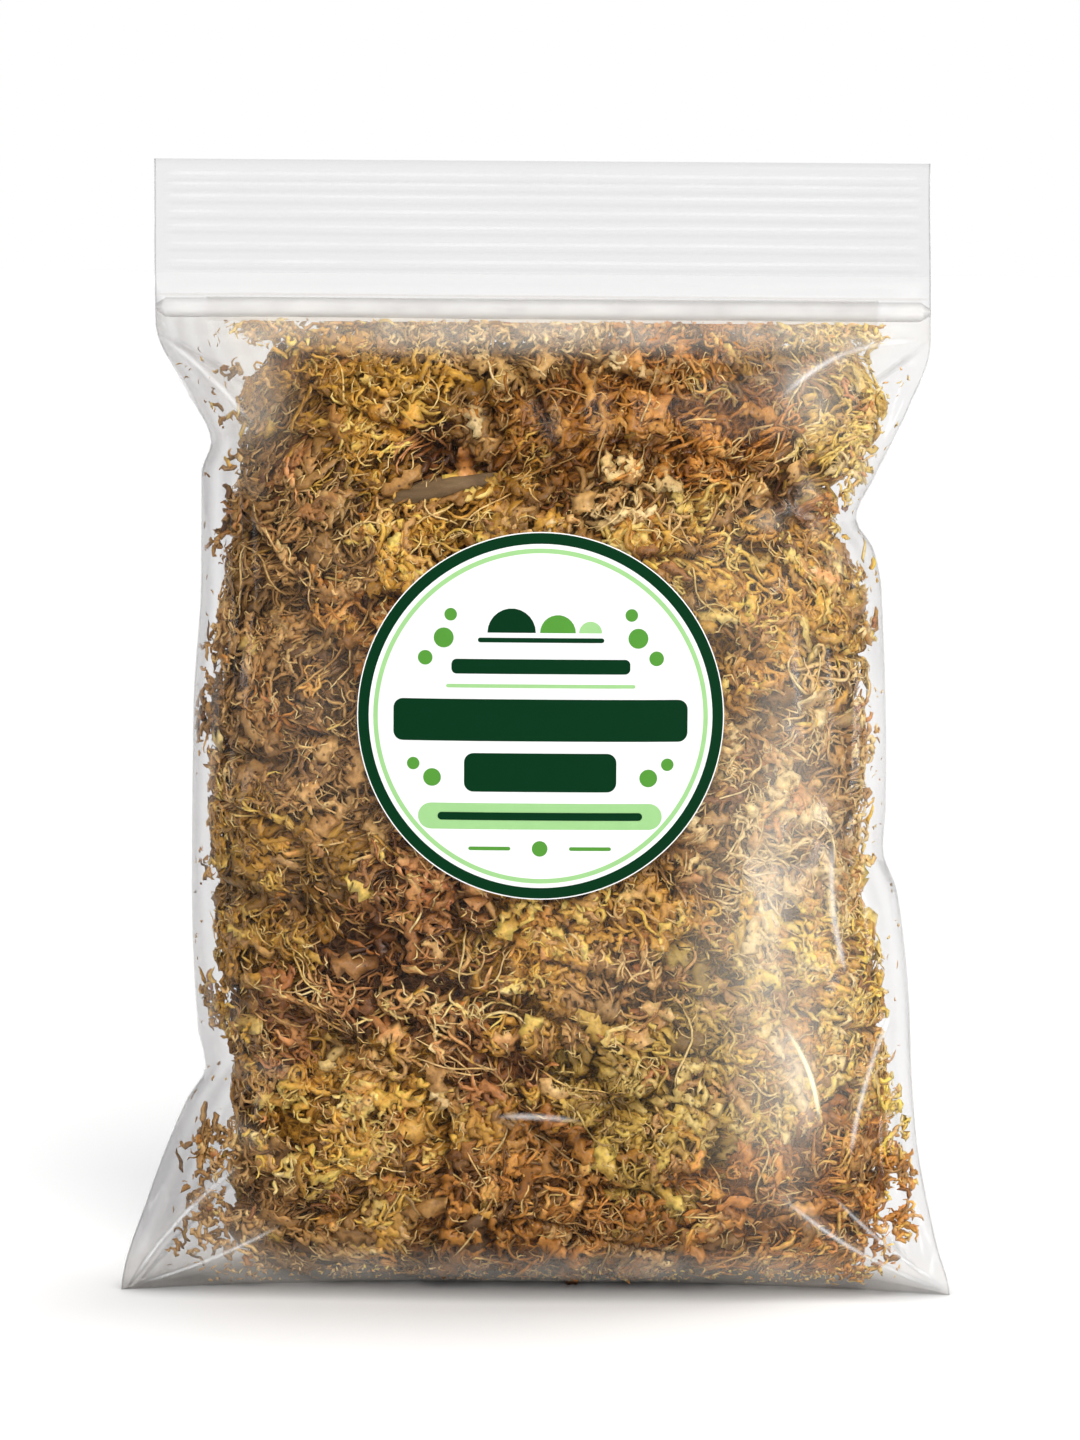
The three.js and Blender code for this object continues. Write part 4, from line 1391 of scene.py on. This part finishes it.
def lay_tufts(rng, pack, tufts, form, leafy):
    """Tufts of strands that share a place, a lie and a shade."""
    angle, height, roots, wad = rooted(rng, tufts)
    colour = moss_colour(roots, wad)
    leafiness = np.array([LEAFINESS[name] for name in COLOURS])[colour]
    keep = rng.random(len(wad)) < (leafiness if leafy else 1 - leafiness) * (1 - 0.19 * hollow(roots))
    angle, height, wad, colour, roots = (row[keep] for row in (angle, height, wad, colour, roots))
    tufts = len(wad)
    flow = TURN * lattice_noise(roots[:, 0] / 13 + 7, roots[:, 2] / 11, 61)
    lie = flow + rng.normal(0, 0.6, tufts)
    star = rng.random(tufts) < STAR_SHARE
    proud = rng.uniform(0.2, 1.5, tufts)
    shade = pick_shades(rng, colour)
    tuft = np.repeat(np.arange(tufts), LEAVES)
    count = len(tuft)
    fan = np.where(star[tuft], rng.uniform(0, TURN, count), rng.normal(0, 0.7, count))
    away = rng.uniform(0, 3.0, count) * np.where(star[tuft], 0.4, 1.0)
    around = rng.uniform(0, TURN, count)
    root_angle = angle[tuft] + away * np.cos(around) / 45
    root_height = np.clip(height[tuft] + away * np.sin(around), LOWEST_ROOT, MOSS_TOP + 2.5)
    layer = proud[tuft] + rng.uniform(-0.2, 0.9, count)
    grown = grow(rng, root_angle, root_height, lie[tuft] + fan, layer, **form)
    pack.add(grown, blend_shades(rng, shade[tuft], colour[tuft]), wad[tuft])


def lay_fine_strands(rng, pack):
    """Thin pale strands and stems over the rest; their cream paleness is partly the moss's own and partly
    painted highlight.
    """
    for count, form in ((3800, WISP), (160, STEM)):
        angle, height, roots, wad = rooted(rng, count)
        grown = strew(rng, angle, height, (0.15, 1.0), **form)
        own = pick_shades(rng, moss_colour(roots, wad))
        shade = 0.65 * own + np.array([0.42, 0.29, 0.105]) * rng.uniform(0.7, 1.2, (len(wad), 1))
        pack.add(grown, shade, wad)


def lay_flakes(rng, pack):
    """Broad crumpled flakes of leaf."""
    angle, height, roots, wad = rooted(rng, 520)
    colour = moss_colour(roots, wad)
    grown = strew(rng, angle, height, (0.3, 1.3), **FLAKE)
    pack.add(grown, blend_shades(rng, pick_shades(rng, colour), colour), wad)


def margin_room(x, z):
    """Half the room between the two walls of film."""
    return np.maximum(half_depth(z) * fullness(share_at(x, z), z) - 0.5, 0)


def margin_point(x, z, inset):
    """Points beside the pack, between the walls of film: the inset runs from the front wall to the back."""
    room = margin_room(x, z)
    y = mid_surface(share_at(x, z), z) - np.clip(room - inset, -room, room)
    return np.stack([np.clip(x, left_edge(z) + 0.8, right_edge(z) - 0.8), y, z + 0 * x], -1)


BESIDE = dict(place=margin_point, least_reach=0.5)
# Strands beside the pack get little painted depth shade
SHALLOW_FADE = 0.05  # strands beside the pack keep their light


def lay_loose_tufts(rng, pack):
    """Tufts that stray from the pack into the side margins and the ears."""
    tufts = 110
    ear = rng.random(tufts) < 0.35
    height = np.where(ear, rng.uniform(4, 34, tufts), rng.uniform(6, 186, tufts))
    right_hand = rng.random(tufts) < 0.5
    edge = np.where(right_hand, moss_right(height), moss_left(height))
    film = np.where(right_hand, right_edge(height), left_edge(height))
    reach = np.where(ear, rng.uniform(-0.3, 0.45, tufts), rng.uniform(-1.1, 0.0, tufts))
    x = edge + (film - edge) * reach
    tuft = np.repeat(np.arange(tufts), LEAVES)
    count = len(tuft)
    heading = np.where(right_hand, 0, math.pi)[tuft] + rng.normal(0, 1.3, count)
    roots = margin_point(x, height, 1.0 + 0 * x)
    wad = nearest_wad(roots)
    colour = moss_colour(roots, wad)[tuft]
    layer = rng.uniform(0.3, 2.2, tufts)[tuft] + rng.uniform(0, 0.8, count)
    root_x = x[tuft] + rng.normal(0, 1.0, count)
    root_height = np.clip(height[tuft] + rng.normal(0, 1.3, count), 2, 188)
    grown = grow(rng, root_x, root_height, heading, layer, **SPRIG, **BESIDE)
    pack.add(grown, pick_shades(rng, colour), wad[tuft], SHALLOW_FADE)


def scatter_crumbs(rng, pack):
    """Crumbs under the zip, in the side margins and along the base."""
    crumbs = 900
    lot = rng.random(crumbs)
    top, low = lot < 0.18, lot > 0.58
    beside = np.where(rng.random(crumbs) < 0.5, -1, 1) * rng.uniform(61, 72, crumbs)
    x = np.where(low, rng.uniform(-64, 66, crumbs), np.where(top, rng.uniform(-64, 68, crumbs), beside))
    height = np.where(top, rng.uniform(184, 190.5, crumbs), rng.uniform(3, 186, crumbs))
    height[low] = rng.uniform(0.9, 5, np.count_nonzero(low))
    roots = margin_point(x, height, 1.0 + 0 * x)
    wad = nearest_wad(roots)
    grown = strew(rng, x, height, (0.2, 1.5), **CRUMB, **BESIDE)
    # painted light: the crumbs along the base, which lie in shade, are brightened
    shade = pick_shades(rng, moss_colour(roots, wad)) * np.where(low, 1.8, 1)[:, None]
    pack.add(grown, shade, wad, SHALLOW_FADE)


def lay_crown(rng, pack):
    """Fine strands that reach up under the zip, thickest in the middle, and a few in the left corner."""
    count, in_corner = 1000, 90
    x = rng.uniform(-43, 66, count)
    x[:in_corner] = rng.uniform(-58, -47, in_corner)
    crest = 189.6 + 0.8 * lattice_noise(x / 6, x * 0, 18)
    height = np.clip(crest - np.abs(rng.normal(0, 2.0, count)), 181, STRAND_TOP)
    roots = margin_point(x, height, 0.3 + 0 * x)
    wad = nearest_wad(roots)
    layer = rng.uniform(0.1, 1, count) ** 1.5 * 2 * margin_room(x, height)
    grown = grow(rng, x, height, rng.uniform(0, TURN, count), layer, **SPRIG, **BESIDE)
    pack.add(grown, pick_shades(rng, moss_colour(roots, wad)), wad, fade=0.08)


def front_angle(x, z):
    """The angle round the pack of a point on its front."""
    left, right = moss_left(z), moss_right(z)
    return -np.arccos(np.clip((2 * x - left - right) / (right - left), -1, 1))


def lay_chips(rng, pack):
    """A few pale chips of leaf that stand out in the front."""
    x, z, heading, shade = (np.array(row, float) for row in zip(*CHIPS))
    wad = nearest_wad(np.stack([x, 0 * x - 20, z], -1))
    grown = grow(rng, front_angle(x, z), z, heading, 0 * x + 0.15, **CHIP)
    pack.add(grown, shade[:, None] * np.array([[0.8, 0.56, 0.2]]), wad)


def twig():
    """A smooth brown twig that lies across the hollow in the front."""
    stations, sides = 26, 14
    t = np.linspace(0, 1, stations)
    x, z = -32 + 24 * t, 155.6 + 4.6 * t + 0.5 * np.sin(3 * t)
    surface = moss_point(front_angle(x, z), z, 0 * t)
    centre = moss_point(front_angle(x, z), z, 4.1 - 2.2 * np.sin(math.pi * t) + 0.8 * sunk(surface))
    radius = 2.6 * (1 - 0.3 * t) * np.sqrt(np.clip(14 * t * (1 - t), 0.02, 1))
    around = np.linspace(0, TURN, sides, endpoint=False)
    ring = np.stack([0 * around, np.cos(around), np.sin(around)], -1)
    knots = 1 + 0.12 * np.sin(9 * t[:, None, None] + 2 * np.sin(3 * around)[None, :, None])
    points = (centre[:, None] + radius[:, None, None] * knots * ring[None]).reshape(-1, 3)
    stick = mesh_piece("twig", points, grid_faces(stations, sides), twig_bark())
    close_up(stick)
    shade_smooth(stick)
    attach(stick, "root")


def pack_moss():
    """All the strands, from the inside out. They share one run of random numbers, so their order counts."""
    rng = np.random.default_rng(SEED)
    pack = MossPack()
    lay_under_layer(rng, pack)
    for tufts, form, leafy in TUFTS:
        lay_tufts(rng, pack, tufts, form, leafy)
    for lay in (lay_flakes, lay_fine_strands, lay_loose_tufts, scatter_crumbs, lay_crown, lay_chips):
        lay(rng, pack)
    pack.build(dry_moss())


def moss_heart():
    """The shaded moss inside the pack, as one lumpy closed form."""
    around, up = 130, 96
    angle = np.linspace(0, TURN, around, endpoint=False)
    height = np.linspace(MOSS_BASE + 1.2, MOSS_TOP - 0.5, up)
    a, z = np.meshgrid(angle, height)
    lumps = lattice_noise(a * 9, z / 5, 31) + 0.6 * lattice_noise(a * 22, z / 2.4, 32)
    inset = 2.9 + 0.7 * lumps + sunk(moss_point(a, z, 0 * a))
    points = moss_point(a, z, inset).reshape(-1, 3)
    heart = mesh_piece("moss_heart", points, grid_faces(up, around), shaded_moss())
    # painted shade: the heart takes the darker shade of its place, dimmed further
    add_tints(heart, 0.7 * SHADE_TABLE[moss_colour(points, nearest_wad(points)), 1])
    close_up(heart)
    shade_smooth(heart)
    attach(heart, "root")


def zip_strips():
    """The zip's strips keep their solids' shapes, in milky plastic."""
    plastic = zip_plastic()
    for name in ("zip_rib_strip", "zip_channel_strip"):
        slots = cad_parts[name].data.materials
        slots.clear()
        slots.append(plastic)


place_camera()
light_the_studio()
lay_floor()
bpy.context.scene.view_settings.view_transform = "Standard"
bag_film()
# white film for the welds, and painted highlights along the sharp folds and a glint
weld_white_and_fold_highlights = weld_white_and_fold_highlight_film()
side_welds(weld_white_and_fold_highlights)
fold_marks(weld_white_and_fold_highlights, scuffed_film(), glint_paint_film())
lip_ribs()
zip_bands()
label()
pack_moss()
moss_heart()
twig()
zip_strips()
